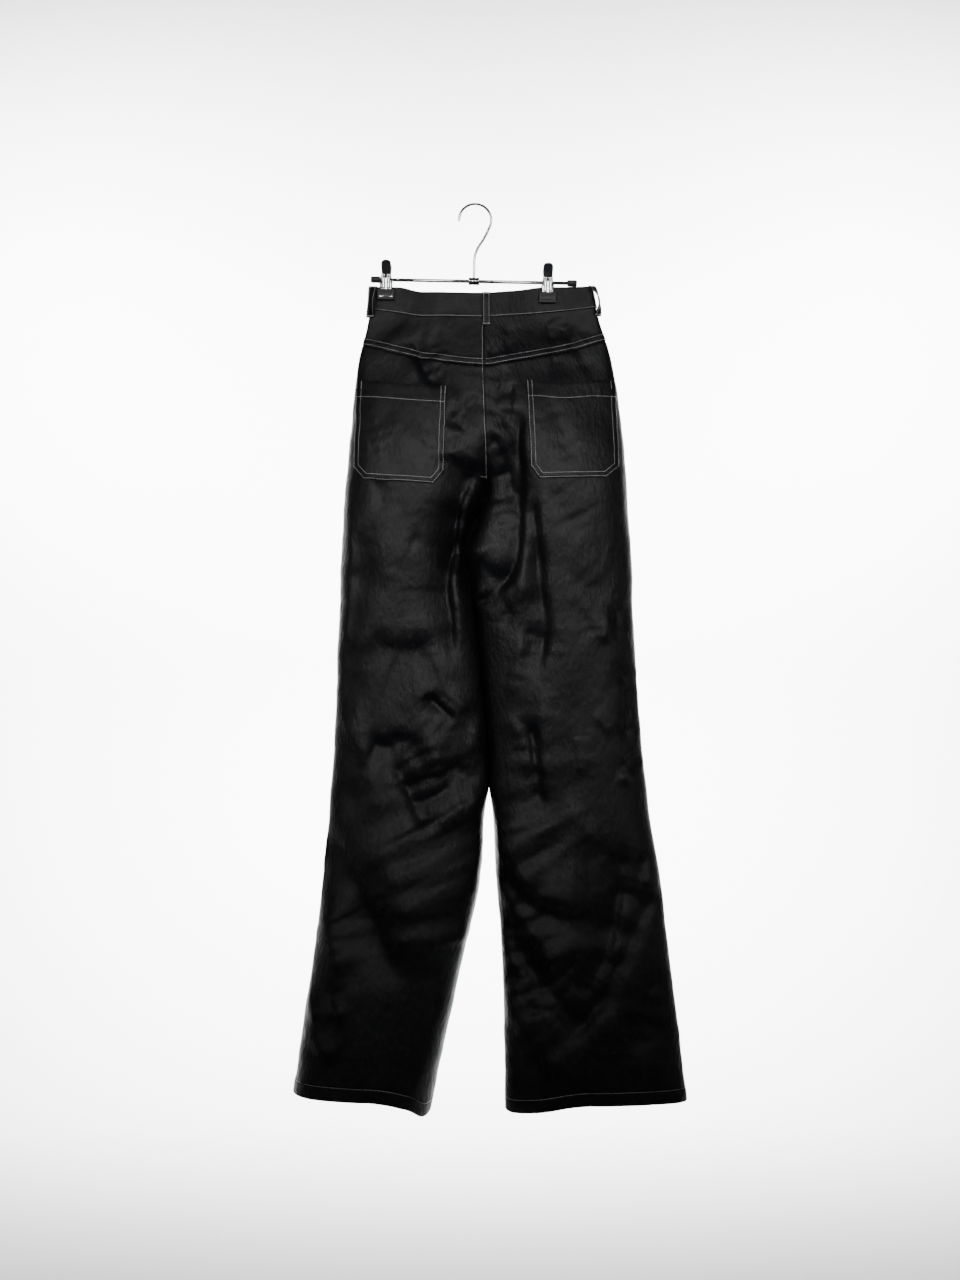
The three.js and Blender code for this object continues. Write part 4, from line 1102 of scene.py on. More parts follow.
# -------------------------------------------------------------------------- laid-on patches
class Outline:
    """A straight-sided patch on one face, its corners given by x and drop. Its feet say
    where its two lower corners are on the outline, counted in corners."""

    def __init__(self, face, points, feet):
        self.face, self.feet = face, feet
        self.points = np.array(points, float)
        after = np.roll(self.points, -1, axis=0)
        way = after - self.points
        self.length = np.hypot(*way.T)
        self.way = way / self.length[:, None]
        self.inward = np.stack([-self.way[:, 1], self.way[:, 0]], -1)
        if ((self.points.mean(0) - self.points[0]) * self.inward[0]).sum() < 0:
            self.inward = -self.inward

    def inside(self, x, drop, edges=slice(None)):
        """How far a point is inside the nearest of the edges."""
        offset = np.stack([x, drop], -1)[..., None, :] - self.points[edges]
        return (offset * self.inward[edges]).sum(-1).min(-1)

    def between(self, start, end, shares):
        """Points along the outline from one place to another, counted in corners."""
        whole = np.arange(math.ceil(min(start, end)), math.floor(max(start, end)) + 1, dtype=float)
        at = np.unique(np.concatenate([[start, end], whole]))
        at = at if end > start else at[::-1]
        count = len(self.points)
        low = np.floor(at).astype(int)
        stops = lerp(self.points[low % count], self.points[(low + 1) % count], (at - low)[:, None])
        run = running(stops)
        return interpolated(shares * run[-1], run, stops)

    def flat(self, name, step):
        """The patch as a flat grid between its four sides, finer along its edges."""
        across, down = (graded(self.length[edge], step, 0.45, 1.8) for edge in (0, 1))
        mesh, s, t = grid(name, across, down)
        inner, outer = self.feet
        top, bottom = self.between(0, 1, s), self.between(outer, inner, s)
        near, far = self.between(len(self.points), outer, t), self.between(1, inner, t)
        s, t = s[:, None], t[:, None]
        upper = lerp(self.points[0], self.points[1], s)
        ends = lerp(upper, lerp(self.foot(outer), self.foot(inner), s), t)
        place = lerp(top, bottom, t) + lerp(near, far, s) - ends
        set_corners(mesh, np.c_[place, np.zeros(len(place))])
        return mesh

    def foot(self, at):
        """The corner at one place along the outline."""
        return self.between(at, at + 1e-6, np.zeros(1))[0]

    def inset_line(self, first, last, distance, trim):
        """A line inside the edges between two corners, at one distance from them and
        trimmed at both ends."""
        count = len(self.points)
        edges = [(first + k) % count for k in range((last - first) % count)]
        insets, final = self.inward * distance, edges[-1]
        start = self.points[edges[0]] + insets[edges[0]] + self.way[edges[0]] * trim
        crossings = [self.meet(pair, distance) for pair in zip(edges, edges[1:])]
        end = self.points[final] + self.way[final] * (self.length[final] - trim) + insets[final]
        line = np.array([start, *crossings, end])
        run = running(line)
        return interpolated(np.linspace(0, run[-1], max(2, round(run[-1] / LINE_PITCH))), run, line)

    def meet(self, pair, distance):
        """Where two edges' inset lines cross."""
        normals = self.inward[list(pair)]
        levels = (normals * self.points[list(pair)]).sum(-1) + distance
        return np.linalg.solve(normals, levels)


POCKETS = {
    "left": ((-162.5, 119.5), (-47, 130), (-51.5, 239), (-64.5, 255.5), (-152, 249), (-166.5, 233)),
    "right": ((168, 120), (54, 122), (59.5, 233), (71, 249), (155, 247), (172, 232)),
}
MOUTH_SAG = {"left": (-95, 40, 1.5), "right": (104, 26, 4.0)}  # middle, spread and depth


def pocket_outline(side):
    """The patch pocket: mouth outer and inner corners, then round by the foot."""
    return Outline("back", POCKETS[side], (2.5, 4.5))


def sagged(side, x, drop, from_mouth):
    """The drop of a place on a pocket, whose mouth sags a little."""
    middle, spread, depth = MOUTH_SAG[side]
    return drop + depth * bump_at(x - middle, spread) * (1 - smoothstep(from_mouth, 5, 70))


def fly_outline():
    """The fly: its two top corners, then round by the foot."""
    points = [(-26, 38), (12, 38), (20.5, 128), (14.5, 192), (2.5, 196), (-16, 190)]
    points += [(-30, 174), (-37.5, 156), (-37, 134)]
    return Outline("front", points, (4, 5.5))


def patch(name, outline, step, lift_of, shift_of=None):
    """A patch shaped on the cloth, lift_of(x, drop, inside) giving its outer face."""
    mesh = outline.flat(name, step)
    flat = corners(mesh)
    x, drop = flat[:, 0], flat[:, 1]
    inside = outline.inside(x, drop)
    lift = lift_of(x, drop, inside)
    level = shift_of(x, drop) if shift_of else drop
    points, normals = on_face(outline.face, x, level, lift)
    set_corners(mesh, in_place(points))
    set_layout(mesh, np.stack([x + 300, drop], -1))
    face_out(mesh, normals)
    return mesh


def pocket_mesh(side, cell):
    """A patch pocket, double under its mouth, which stands off the cloth a little."""
    outline = pocket_outline(side)

    def lift_of(x, drop, inside):
        from_mouth = outline.inside(x, drop, [0])
        beside = outline.inside(x, drop, [1, 5])
        doubled = 1 - smoothstep(from_mouth, MOUTH_LINE - 0.5, MOUTH_LINE + 1)
        gathers = lattice_noise(83, x / 7, from_mouth / 40) * doubled
        lift = 2.75 + 0.3 * doubled + 0.45 * gathers - 0.25 * bump_at(from_mouth - MOUTH_LINE, 1.0)
        lift += 0.3 * (1 - smoothstep(np.minimum(inside, from_mouth + 50), 8, 10))
        for line in POCKET_LINES:
            lift -= 0.2 * bump_at(inside - line, 0.9)
        return lift + gape(from_mouth, beside) - 0.7 * bump_at(inside, 0.5)

    def shift_of(x, drop):
        return sagged(side, x, drop, outline.inside(x, drop, [0]))

    return patch("pocket_" + side, outline, cell, lift_of, shift_of)


def gape(from_mouth, beside):
    """How far a pocket's mouth stands off, by the distances from its mouth and its sides."""
    return (1 - smoothstep(from_mouth, 0, 34)) * smoothstep(beside, 4, 40)


def fly_mesh(cell):
    """The fly's outer layer, which lies on the front."""

    def lift_of(x, drop, inside):
        lift = 2.75 - 0.7 * bump_at(inside, 0.5) - 0.15 * bump_at(inside - FLY_LINES[0], 0.9)
        return lift + 0.2 * lattice_noise(87, x / 9, drop / 26)

    return patch("fly", fly_outline(), cell, lift_of)


# --------------------------------------------------------------------- folded closed strips
def rounded_ring(straight, arc=5):
    """A flattened ring: how far along its straight sides, the bulge past their ends, and
    how far out, from 0 to 1. It starts at the foot of its outer side."""
    turn = np.linspace(0, math.pi, arc)[1:-1]
    run = np.linspace(1, 0, straight)
    flat, half = np.zeros(straight), np.ones(straight)
    rise = 0.5 * np.cos(turn)
    down = np.concatenate([run, 0 * turn, run[::-1], 0 * turn + 1, run[:1]])
    bulge = np.concatenate([flat, -np.sin(turn), flat, np.sin(turn), flat[:1]])
    out = np.concatenate([half, 0.5 + rise, flat, 0.5 - rise, half[:1]])
    return down, bulge, out


def band_stations():
    """The waistband's stations, from its upper end round to the end that passes under:
    for each its quarter, its even share and whether it belongs to the upper lap."""
    over_even = QUARTERS["right", "front"].even_at_x(13, BAND_MIDDLE)
    under_even = QUARTERS["left", "front"].even_at_x(-30, BAND_MIDDLE)
    stretches = [
        ("right", "front", over_even, 1, True),
        ("left", "front", 1, 0, True),
        ("left", "back", 0, 1, False),
        ("right", "back", 1, 0, False),
        ("right", "front", 0, 1, False),
        ("left", "front", 1, under_even, False),
    ]
    stations = []
    for side, face, start, end, upper in stretches:
        length = abs(end - start) * float(QUARTERS[side, face].girth(BAND_MIDDLE))
        for even in np.linspace(start, end, max(3, round(length / BAND_STEP)))[:-1]:
            stations.append((side, face, float(even), upper))
    stations.append(("left", "front", float(under_even), False))
    return stations


def band_points(stations, place_in_ring):
    """Points of the band at stations, for down, bulge and out at each, and outward ways."""
    down, bulge, out = place_in_ring
    points, normals = np.zeros((len(stations), 3)), np.zeros((len(stations), 3))
    keys = np.array([f"{side} {face} {upper}" for side, face, _, upper in stations])
    evens = np.array([even for _, _, even, _ in stations])
    radius = BAND_CLOTH / 2
    for key in np.unique(keys):
        side, face, upper = key.split()
        quarter, chosen = QUARTERS[side, face], keys == key
        share = quarter.share(evens[chosen], BAND_MIDDLE)
        top, bottom = quarter.line("top", share), quarter.line("band", share) - 0.3
        level = top + radius + down[chosen] * (bottom - top - 2 * radius)
        drop = level + bulge[chosen] * radius
        share = quarter.share(evens[chosen], drop)
        x = quarter.form(share, drop)[0]
        lapped = smoothstep(x, -75, -35) if upper == "True" else 0
        sunk = 0.2 * bump_at(bottom - drop - 1.8, 0.8) * (out[chosen] > 0.9)
        lift = lapped * (BAND_CLOTH + LAID) + out[chosen] * BAND_CLOTH - sunk
        points[chosen], normals[chosen] = quarter.cloth(share, drop, lift)
    return points, normals


def waistband_mesh():
    """The waistband, a closed strip from lap to lap."""
    stations = band_stations()
    down, bulge, out = rounded_ring(15)
    mesh, i, j = grid("waistband", np.arange(len(stations)), np.arange(len(down)))
    i, j = i.astype(int), j.astype(int)
    points, _ = band_points([stations[k] for k in i], (down[j], bulge[j], out[j]))
    set_corners(mesh, in_place(points))
    set_layout(mesh, np.stack([i * BAND_STEP, j * BAND_CLOTH], -1))
    return closed_strip("waistband", mesh)


LOOPS = {
    "loop_back": ("right", "back", 0.995, 1.2, 0),
    "loop_side_left": ("left", "back", 0.1, 6.5, 35),
    "loop_side_right": ("right", "back", 0.1, 9.0, 60),
    "loop_front_left": ("left", "front", 0.64, 1.5, 0),
    "loop_front_right": ("right", "front", 0.5, 1.5, 0),
}
LOOP_WIDTH, LOOP_CLOTH, LOOP_BELOW = 11.0, 1.5, 10.0


class BeltLoop:
    """A belt loop's own directions, and places on it."""

    def __init__(self, name):
        side, face, self.share, self.stand, twist = LOOPS[name]
        self.quarter = QUARTERS[side, face]
        facing = self.quarter.cloth(self.share, 12)[1]
        facing[2] = 0
        self.facing = facing / np.linalg.norm(facing)
        self.sideways = np.array([-self.facing[1], self.facing[0], 0])
        self.twist = math.radians(twist) * self.quarter.sign
        self.top = float(self.quarter.line("top", self.share)) - 0.4
        self.band = float(self.quarter.line("band", self.share))
        self.length = self.band + LOOP_BELOW - self.top

    def at(self, down, beside, out):
        """down from 0 to 1, beside in mm from its middle, out in mm from its inner face."""
        places = (np.asarray(value, float) for value in (down, beside, out))
        down, beside, out = np.broadcast_arrays(*places)
        drop = lerp(self.top, self.band + LOOP_BELOW, down)
        step = smoothstep(drop, self.band - 0.5, self.band + 4)
        bow = np.sin(math.pi * np.clip(down, 0, 1))
        arch = self.stand * bow**0.8
        sewn = bump_at(down * self.length, 4) + bump_at((1 - down) * self.length, 4)
        seat = lerp(BAND_CLOTH, CLOTH, step) + lerp(0.75, 0.15, np.minimum(sewn, 1)) + arch
        foot = self.quarter.cloth(self.share, drop, 0.01)[0]
        turn = self.twist * bow**1.5
        ahead = np.cos(turn) * out - np.sin(turn) * beside
        aside = np.sin(turn) * out + np.cos(turn) * beside
        return foot + self.facing * (seat + ahead)[..., None] + self.sideways * aside[..., None]

    def mesh(self, name):
        """The loop as a closed strip, with the backing on its inner face."""
        down, bulge, out = rounded_ring(9)
        along_loop = graded(self.length, 1.3, 0.5, 2)
        mesh, t, j = grid(name, along_loop, np.arange(len(down)))
        j = j.astype(int)
        radius = LOOP_CLOTH / 2
        half = LOOP_WIDTH / 2 - radius
        beside = lerp(-half, half, down[j]) + bulge[j] * radius
        stitched = bump_at(np.abs(beside) - LOOP_LINES[1], 0.7) * (out[j] > 0.9)
        rounded = LOOP_CLOTH * out[j] + 0.35 * np.cos(beside / half * 1.4) * (out[j] > 0.4)
        points = self.at(t, beside, rounded - 0.18 * stitched)
        set_corners(mesh, in_place(points))
        set_layout(mesh, np.stack([j * 0.8, t * self.length], -1))
        made = closed_strip(name, mesh)
        middle = np.zeros(len(made.polygons) * 3)
        made.polygons.foreach_get("normal", middle)
        inner = middle.reshape(-1, 3) @ self.facing < -0.5
        made.polygons.foreach_set("material_index", inner.astype(int))
        return made


# ------------------------------------------------------------------------------ stitching
class Seamstress:
    """Collects the stitches of one piece of topstitching."""

    def __init__(self, threads):
        self.pitch, self.width = threads.pitch / MM, threads.width / MM
        self.places = []

    def run(self, points, normals, pitch=None, length=None, turned=False):
        """Stitches along closely spaced points; turned ones lie across the line."""
        pitch = pitch or self.pitch
        run = running(points)
        count = max(1, round(run[-1] / pitch))
        at = (np.arange(count) + 0.5) * run[-1] / count
        long, half_width = (length or pitch * 0.86) / 2, self.width / 2
        way = interpolated(at + long, run, points) - interpolated(at - long, run, points)
        way /= np.linalg.norm(way, axis=-1, keepdims=True)
        normal = interpolated(at, run, normals)
        normal -= way * (normal * way).sum(-1, keepdims=True)
        normal /= np.linalg.norm(normal, axis=-1, keepdims=True)
        beside = np.cross(normal, way)
        if turned:
            way, beside = beside, way
        sides = np.stack([beside * half_width, normal * half_width * 0.75, way * long], -1) * MM
        centre = in_place(interpolated(at, run, points))
        frames = np.concatenate([sides, centre[..., None]], -1)
        self.places += [Matrix([*frame.tolist(), (0, 0, 0, 1)]) for frame in frames]

    def on_quarter(self, quarter, evens, drops, lift):
        points, normals = quarter.even_cloth(evens, drops, lift)
        self.run(points, normals)

    def on_face(self, face, line, lift, **how):
        points, normals = on_face(face, line[:, 0], line[:, 1], lift)
        self.run(points, normals, **how)

    def piece(self, name):
        """All the stitches as one piece."""
        bm = bmesh.new()
        for matrix in self.places:
            bmesh.ops.create_uvsphere(bm, u_segments=6, v_segments=4, radius=1, matrix=matrix)
        bmesh.ops.recalc_face_normals(bm, faces=bm.faces[:])
        return add_piece(name, mesh_of(bm, name), ["thread"], "thread")


# ------------------------------------------------------------------------------ the hanger
def clip_frame(side):
    """From a clip's own millimetres, x along the rod and z up, to the part's metres."""
    turn = Matrix.Rotation(TILT, 4, "Y")
    return Matrix.Translation(CLIP_PLACES[side]) @ turn @ Matrix.Scale(MM, 4)


def rail_frame():
    """From millimetres, z along the rod from its middle, to the part's metres."""
    across = Matrix.Rotation(TILT + math.pi / 2, 4, "Y")
    return Matrix.Translation(RAIL_MIDDLE) @ across @ Matrix.Scale(MM, 4)


def facing_frame(place, way):
    """From millimetres, z along a way from a place, to the part's metres."""
    turn = Vector(way).to_track_quat("Z", "Y").to_matrix().to_4x4()
    return Matrix.Translation(place) @ turn @ Matrix.Scale(MM, 4)


def clip_part(bm, name, side, sign=1):
    """Finishes a shape made in a clip's own millimetres; the back jaw's is turned round."""
    every = bm.verts[:]
    bmesh.ops.recalc_face_normals(bm, faces=bm.faces[:])
    if sign < 0:
        half_turn = Matrix.Rotation(math.pi, 3, "Z")
        bmesh.ops.rotate(bm, cent=(0, 0, 0), matrix=half_turn, verts=every)
    bmesh.ops.transform(bm, matrix=clip_frame(side), verts=every)
    return mesh_of(bm, name)


def turned_profile(name, profile, matrix, steps=40):
    """A shape spun round the z axis from its profile of radius and height."""
    bm = bmesh.new()
    line = [bm.verts.new((radius, 0, height)) for radius, height in profile]
    edges = [bm.edges.new(pair) for pair in zip(line, line[1:])]
    bmesh.ops.spin(
        bm,
        geom=line + edges,
        cent=(0, 0, 0),
        axis=(0, 0, 1),
        angle=2 * math.pi,
        steps=steps,
        use_merge=True,
    )
    bmesh.ops.remove_doubles(bm, verts=bm.verts[:], dist=1e-5)
    bmesh.ops.recalc_face_normals(bm, faces=bm.faces[:])
    bmesh.ops.transform(bm, matrix=matrix, verts=bm.verts[:])
    return mesh_of(bm, name)


def jaw_mesh(name, side, sign, inset):
    """A stamped jaw: a ribbed plate with a rounded lever and two ears round the rod."""
    plate = JAW["plate"]
    lever = [(plate + 1.6, 8), (plate + 5.2, 16), (JAW["flare"], JAW["top"])]
    line = smooth_path([(plate, JAW["foot"]), (plate, -8), (plate, 2), *lever], 9)
    run = running(line)
    down = np.linspace(0, run[-1], 90)
    mesh, across, at = grid(name, np.linspace(-1, 1, 41), down)
    y, z = interpolated(at, run, line).T
    from_top = run[-1] - at
    rounded = np.sqrt(np.clip(1 - ((5.5 - np.minimum(from_top, 5.5)) / 5.6) ** 2, 0, 1))
    half = lerp(8.2, 6.6, smoothstep(z, -7, 7)) * lerp(0.25, 1, rounded)
    x = across * half * (1 - 0.08 * bump_at(z - 9, 5))
    on_ribs = smoothstep(z, -19, -16.5) * (1 - smoothstep(z, 3.5, 7))
    ribs = sum(bump_at(x - place, 1.9) for place in (-3.3, 3.3))
    sides = smoothstep(np.abs(across), 0.8, 1.0)
    dish = bump_at(z - 14.5, 5) * bump_at(x, 4)
    dimples = sum(bump_at(np.hypot(x - place, z + 12.2), 0.9) for place in (-3.4, 3.4))
    rolled = 1.5 * sides * smoothstep(from_top, 1, 6)
    out = 1.3 * ribs * on_ribs - rolled - 0.6 * dish + 0.3 * dimples
    points = np.stack([sign * x, sign * (y + out), z], -1)
    set_corners(mesh, points)
    face_out(mesh, np.tile([0, sign, 0], (len(points), 1)))
    bm = bmesh.new()
    bm.from_mesh(mesh)
    bpy.data.meshes.remove(mesh)
    bmesh.ops.solidify(bm, geom=bm.faces[:], thickness=JAW["metal"])
    edge = JAW["width"] / 2 - inset
    for place in (edge - JAW["metal"], -edge):
        rim = [
            vert
            for radius in EAR_RADII
            for vert in bmesh.ops.create_circle(bm, segments=36, radius=radius)["verts"]
        ]
        rims = {e for v in rim for e in v.link_edges}
        ring = bmesh.ops.bridge_loops(bm, edges=list(rims))["faces"]
        solid = bmesh.ops.extrude_face_region(bm, geom=ring)
        lifted = [v for v in solid["geom"] if isinstance(v, bmesh.types.BMVert)]
        bmesh.ops.translate(bm, vec=(0, 0, JAW["metal"]), verts=lifted)
        every = rim + lifted
        turn = Matrix.Translation((place, 0, 0)) @ Matrix.Rotation(math.pi / 2, 4, "Y")
        bmesh.ops.transform(bm, matrix=turn, verts=every)
        for v in [v for v in every if sign * v.co.y > 1.5]:
            v.co.y = sign * lerp(abs(v.co.y), plate, smoothstep(abs(v.co.y), 1.5, 4.0))
    return clip_part(bm, name, side)


def pad_mesh(name, side, sign):
    """A rubber boot over a jaw's foot, its gripping face cut across into flat strips."""
    bm = bmesh.new()
    height = PAD["top"] - PAD["bottom"]
    middle = (0, PAD["face"] + PAD["depth"] / 2, (PAD["top"] + PAD["bottom"]) / 2)
    add_box(bm, (PAD["width"], PAD["depth"], height), middle)
    bevelled(bm, 1.1, 3)
    for level in np.arange(PAD["bottom"] + 2.4, PAD["top"] - 1.6, PAD["rib"]):
        cut = {"plane_co": (0, 0, float(level)), "plane_no": (0, 0, 1), "dist": 1e-4}
        faces = [f for f in bm.faces if f.normal.y < -0.9]
        edges = {e for f in faces for e in f.edges}
        verts = {v for f in faces for v in f.verts}
        bmesh.ops.bisect_plane(bm, geom=faces + list(edges) + list(verts), **cut)
    lip = [f for f in bm.faces if f.normal.y > 0.9 and f.calc_area() > 40]
    bmesh.ops.inset_region(bm, faces=lip, thickness=1.4, depth=0, use_even_offset=True)
    bmesh.ops.inset_region(bm, faces=lip, thickness=0.5, depth=-0.45, use_even_offset=True)
    return clip_part(bm, name, side, sign)


def tongue_mesh(name, side, sign):
    """The jaw's foot where it shows as a thin bar through the pad."""
    bm = bmesh.new()
    add_box(bm, (17.5, 0.9, 1.3), (0, PAD["face"] + PAD["depth"] - 0.25, -22.6))
    bevelled(bm, 0.3, 2)
    return clip_part(bm, name, side, sign)


def spring_mesh(name, side):
    """The sprung wire: coils round the rod and a leg to the inside of each jaw."""
    turns, wire, half, radius = 7, 0.45, 3.6, 2.95
    angle = np.linspace(0, 2 * math.pi * turns + math.pi, 260)
    across = np.linspace(-half, half, len(angle))
    coil = np.stack([across, radius * np.cos(angle), radius * np.sin(angle)], -1)
    first = [(-half, 4.5, 12.0), (-half, 3.4, 5.0)]
    last = [(half, -3.4, 5.0), (half, -4.5, 12.0)]
    line = np.concatenate([first, coil, last])
    placing = np.array(clip_frame(side))
    return swept(name, line @ placing[:3, :3].T + placing[:3, 3], wire * MM)


def hook_mesh(wire=1.7, radius=21.0):
    """The hook's wire, from the collar up and round to its tip."""
    centre = wire - radius
    sweep = np.radians(np.linspace(-30, 205, 60))
    arc = np.stack([radius * np.cos(sweep), 0 * sweep, centre + radius * np.sin(sweep)], -1)
    rise = [(0, 0, -96.0), (0, 0, -86), (0, 0, -76), (0.6, 0, -66), (4.5, 0, -55), (12, 0, -43)]
    line = smooth_path(np.concatenate([rise, arc[::6]]), 6)
    turn = np.array(Matrix.Rotation(TILT, 3, "Y"))
    return swept("hook", (line @ turn.T) * MM, wire * MM)


BUTTON_PROFILE = (
    (0, 0.0), (6.6, 0.0), (7.9, 0.35), (8.45, 1.0), (8.5, 1.7), (8.2, 2.5), (7.5, 2.95),
    (6.7, 2.9), (6.1, 2.45), (5.6, 2.1), (4.0, 2.0), (0, 2.0),
)
CAP_PROFILE = (
    (2.5, 0), (3.7, 0), (4.2, 0.4), (4.3, 1.0), (4.3, 3.0), (4.15, 3.3), (4.15, 3.9), (4.3, 4.2),
    (4.3, 10.6), (4.1, 11.6), (3.5, 12.3), (2.6, 12.5), (0, 12.5),
)
COLLAR_PROFILE = (
    (2.3, -7), (4.6, -7), (5.2, -6.6), (5.2, -4.6), (4.8, -4.2), (4.8, 4.2), (5.2, 4.6), (5.2, 6.6),
    (4.6, 7), (2.3, 7), (2.3, -7),
)
CAP_REACH = 8.5


# ------------------------------------------------------------------------------- settings
def metres(name, description, default, **more):
    about = {"name": name, "description": description, "default": default}
    return FloatProperty(unit="LENGTH", **about, **more)


def watts(name, description, default):
    return FloatProperty(name=name, description=description, default=default, unit="POWER")


def hue(name, description, default):
    return FloatVectorProperty(
        name=name, description=description, default=default, size=3, subtype="COLOR"
    )


class TrousersCloth(bpy.types.PropertyGroup):
    """Sizes of the cloth's mesh and its layers."""

    cell: metres("Cell", "Width of a cell of the cloth's grid", 0.003)
    thickness: metres("Cloth thickness", "Coated cloth with its backing", 0.0011)
    patch_cell: metres("Patch cell", "Width of a cell of the pockets and fly", 0.0014)


class TrousersThreads(bpy.types.PropertyGroup):
    """Sizes of the topstitching."""

    pitch: metres("Stitch", "From one stitch to the next", 0.0036)
    width: metres("Thread width", "How wide a stitch lies", 0.00068)


class TrousersLooks(bpy.types.PropertyGroup):
    """Colours and finishes."""

    leather: hue("Faux leather", "The coating's colour", (0.0055, 0.0046, 0.0044))
    leather_low: hue(
        "Faux leather, cooler", "The coating where it is cooler", (0.0022, 0.0024, 0.0036)
    )
    leather_roughness: FloatProperty(
        name="Dullness", description="Roughness of the coating", default=0.46, subtype="FACTOR"
    )
    grain: metres("Grain", "Width of one pebble of the grain", 0.0011, precision=5)
    backing: hue("Backing", "The knitted backing's colour", (0.72, 0.72, 0.73))
    thread: hue("Thread", "The topstitching's colour", (0.45, 0.45, 0.45))
    chrome: hue("Chrome", "The plating's colour", (0.6, 0.6, 0.61))
    rubber: hue("Rubber", "The pads' and caps' colour", (0.008, 0.008, 0.0085))


class TrousersStage(bpy.types.PropertyGroup):
    """The floor, lights and camera."""

    floor: metres("Floor", "Height of the floor", -1.62)
    high: watts("High light", "Power of the upper light", 0.14)
    left: watts("Left light", "Power of the left light", 1.45)
    right: watts("Right light", "Power of the right light", 1.5)
    side: watts("Side light", "Power of each side light", 0.3)
    wash: watts("Wash light", "Power of each backdrop light", 215)
    distance: metres("Camera distance", "From the camera to the cloth", 2.4)


class TROUSERS_OT_waistband(bpy.types.Operator):
    """Make the waistband, one strip folded double"""

    bl_idname = "trousers.waistband"
    bl_label = "Waistband"

    def execute(self, context):
        mesh = waistband_mesh()
        piece = add_piece("waistband_shell", mesh, ["faux_leather"], "faux_leather", "waistband")
        return {"FINISHED"}


class TROUSERS_OT_yokes(bpy.types.Operator):
    """Make the two back yokes"""

    bl_idname = "trousers.yokes"
    bl_label = "Back yokes"

    def execute(self, context):
        sizes = context.scene.trousers_cloth
        for side in CLIP_NAMES:
            mesh = yoke_panel(side, sizes.cell / MM)
            piece = add_shell("yoke_" + side, mesh, sizes.thickness / MM)
        return {"FINISHED"}


class TROUSERS_OT_legs(bpy.types.Operator):
    """Make the back and front leg panels"""

    bl_idname = "trousers.legs"
    bl_label = "Leg panels"

    def execute(self, context):
        sizes = context.scene.trousers_cloth
        for face, cell, length in (("back", 1.0, 0.985), ("front", 1.5, 1.055)):
            for side in CLIP_NAMES:
                mesh = leg_panel(side, face, sizes.cell * cell / MM)
                piece = add_shell(f"{face}_{side}", mesh, sizes.thickness / MM)
        return {"FINISHED"}


class TROUSERS_OT_pockets(bpy.types.Operator):
    """Make the two patch pockets on the back"""

    bl_idname = "trousers.pockets"
    bl_label = "Patch pockets"

    def execute(self, context):
        sizes = context.scene.trousers_cloth
        for side in CLIP_NAMES:
            mesh = pocket_mesh(side, sizes.patch_cell / MM)
            piece = add_shell("pocket_" + side, mesh, PATCH_CLOTH)
        return {"FINISHED"}


class TROUSERS_OT_fly(bpy.types.Operator):
    """Make the fly, and the zip behind it"""

    bl_idname = "trousers.fly"
    bl_label = "Fly and zip"

    def execute(self, context):
        mesh = fly_mesh(context.scene.trousers_cloth.patch_cell / MM)
        piece = add_shell("fly", mesh, PATCH_CLOTH)
        self.zip()
        return {"FINISHED"}

    def zip(self):
        """The zip's tape, and its teeth on the inner side."""
        across = np.linspace(-ZIP_HALF, ZIP_HALF, 15)
        mesh, x, drop = grid("zip", across, np.linspace(ZIP_TOP, ZIP_TOP + ZIP_LENGTH, 60))
        points, normals = on_face("front", x, drop, -0.55)
        set_corners(mesh, in_place(points))
        set_layout(mesh, np.stack([x, drop], -1))
        face_out(mesh, normals)
        tape = add_piece("zip_tape_shell", mesh, ["zip_tape"], "zip_tape", "zip")
        thicken(tape, TAPE_CLOTH, backing=False)
        bm = bmesh.new()
        for k, drop in enumerate(np.arange(ZIP_TOP + 8, ZIP_TOP + ZIP_LENGTH - 3, 1.55)):
            side = 1 if k % 2 else -1
            middle = on_face("front", side * 0.9, drop, -1.75)[0]
            add_box(bm, (3.2 * MM, 1.3 * MM, 0.95 * MM), in_place(middle))
        bevelled(bm, 0.2 * MM, 1)
        teeth = add_piece("zip_teeth", mesh_of(bm, "zip_teeth"), ["zip_metal"], None)


class TROUSERS_OT_button(bpy.types.Operator):
    """Make the waist button and the thread that holds it"""

    bl_idname = "trousers.button"
    bl_label = "Waist button"

    def execute(self, context):
        quarter = QUARTERS["left", "front"]
        share = quarter.share_at_x(-3, BAND_MIDDLE)
        points, facing = quarter.cloth(share, BAND_MIDDLE, 2 * (BAND_CLOTH + LAID))
        place = Vector(in_place(points))
        if (place - sum(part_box("waist_button"), Vector()) / 2).length > 0.004:
            raise RuntimeError("the button isn't where its solid is")
        matrix = facing_frame(place, facing)
        mesh = turned_profile("waist_button", BUTTON_PROFILE, matrix, 48)
        add_piece("waist_button_shell", mesh, ["button"], "button", "waist_button")
        bm = bmesh.new()
        size = Matrix.Diagonal((1.75, 0.45, 0.4, 1))
        for turn in (0, math.pi / 2):
            for beside in (-1.3, 1.3):
                way = Matrix.Rotation(turn, 4, "Z") @ Matrix.Translation((0, beside, 2.05))
                how = {"u_segments": 10, "v_segments": 6, "radius": 1}
                bmesh.ops.create_uvsphere(bm, matrix=matrix @ way @ size, **how)
        add_piece("button_thread", mesh_of(bm, "button_thread"), ["thread"], "thread")
        return {"FINISHED"}


class TROUSERS_OT_loops(bpy.types.Operator):
    """Make the five belt loops"""

    bl_idname = "trousers.loops"
    bl_label = "Belt loops"

    def execute(self, context):
        for name in LOOPS:
            loop = BeltLoop(name)
            piece = add_shell(name, loop.mesh(name))
        return {"FINISHED"}


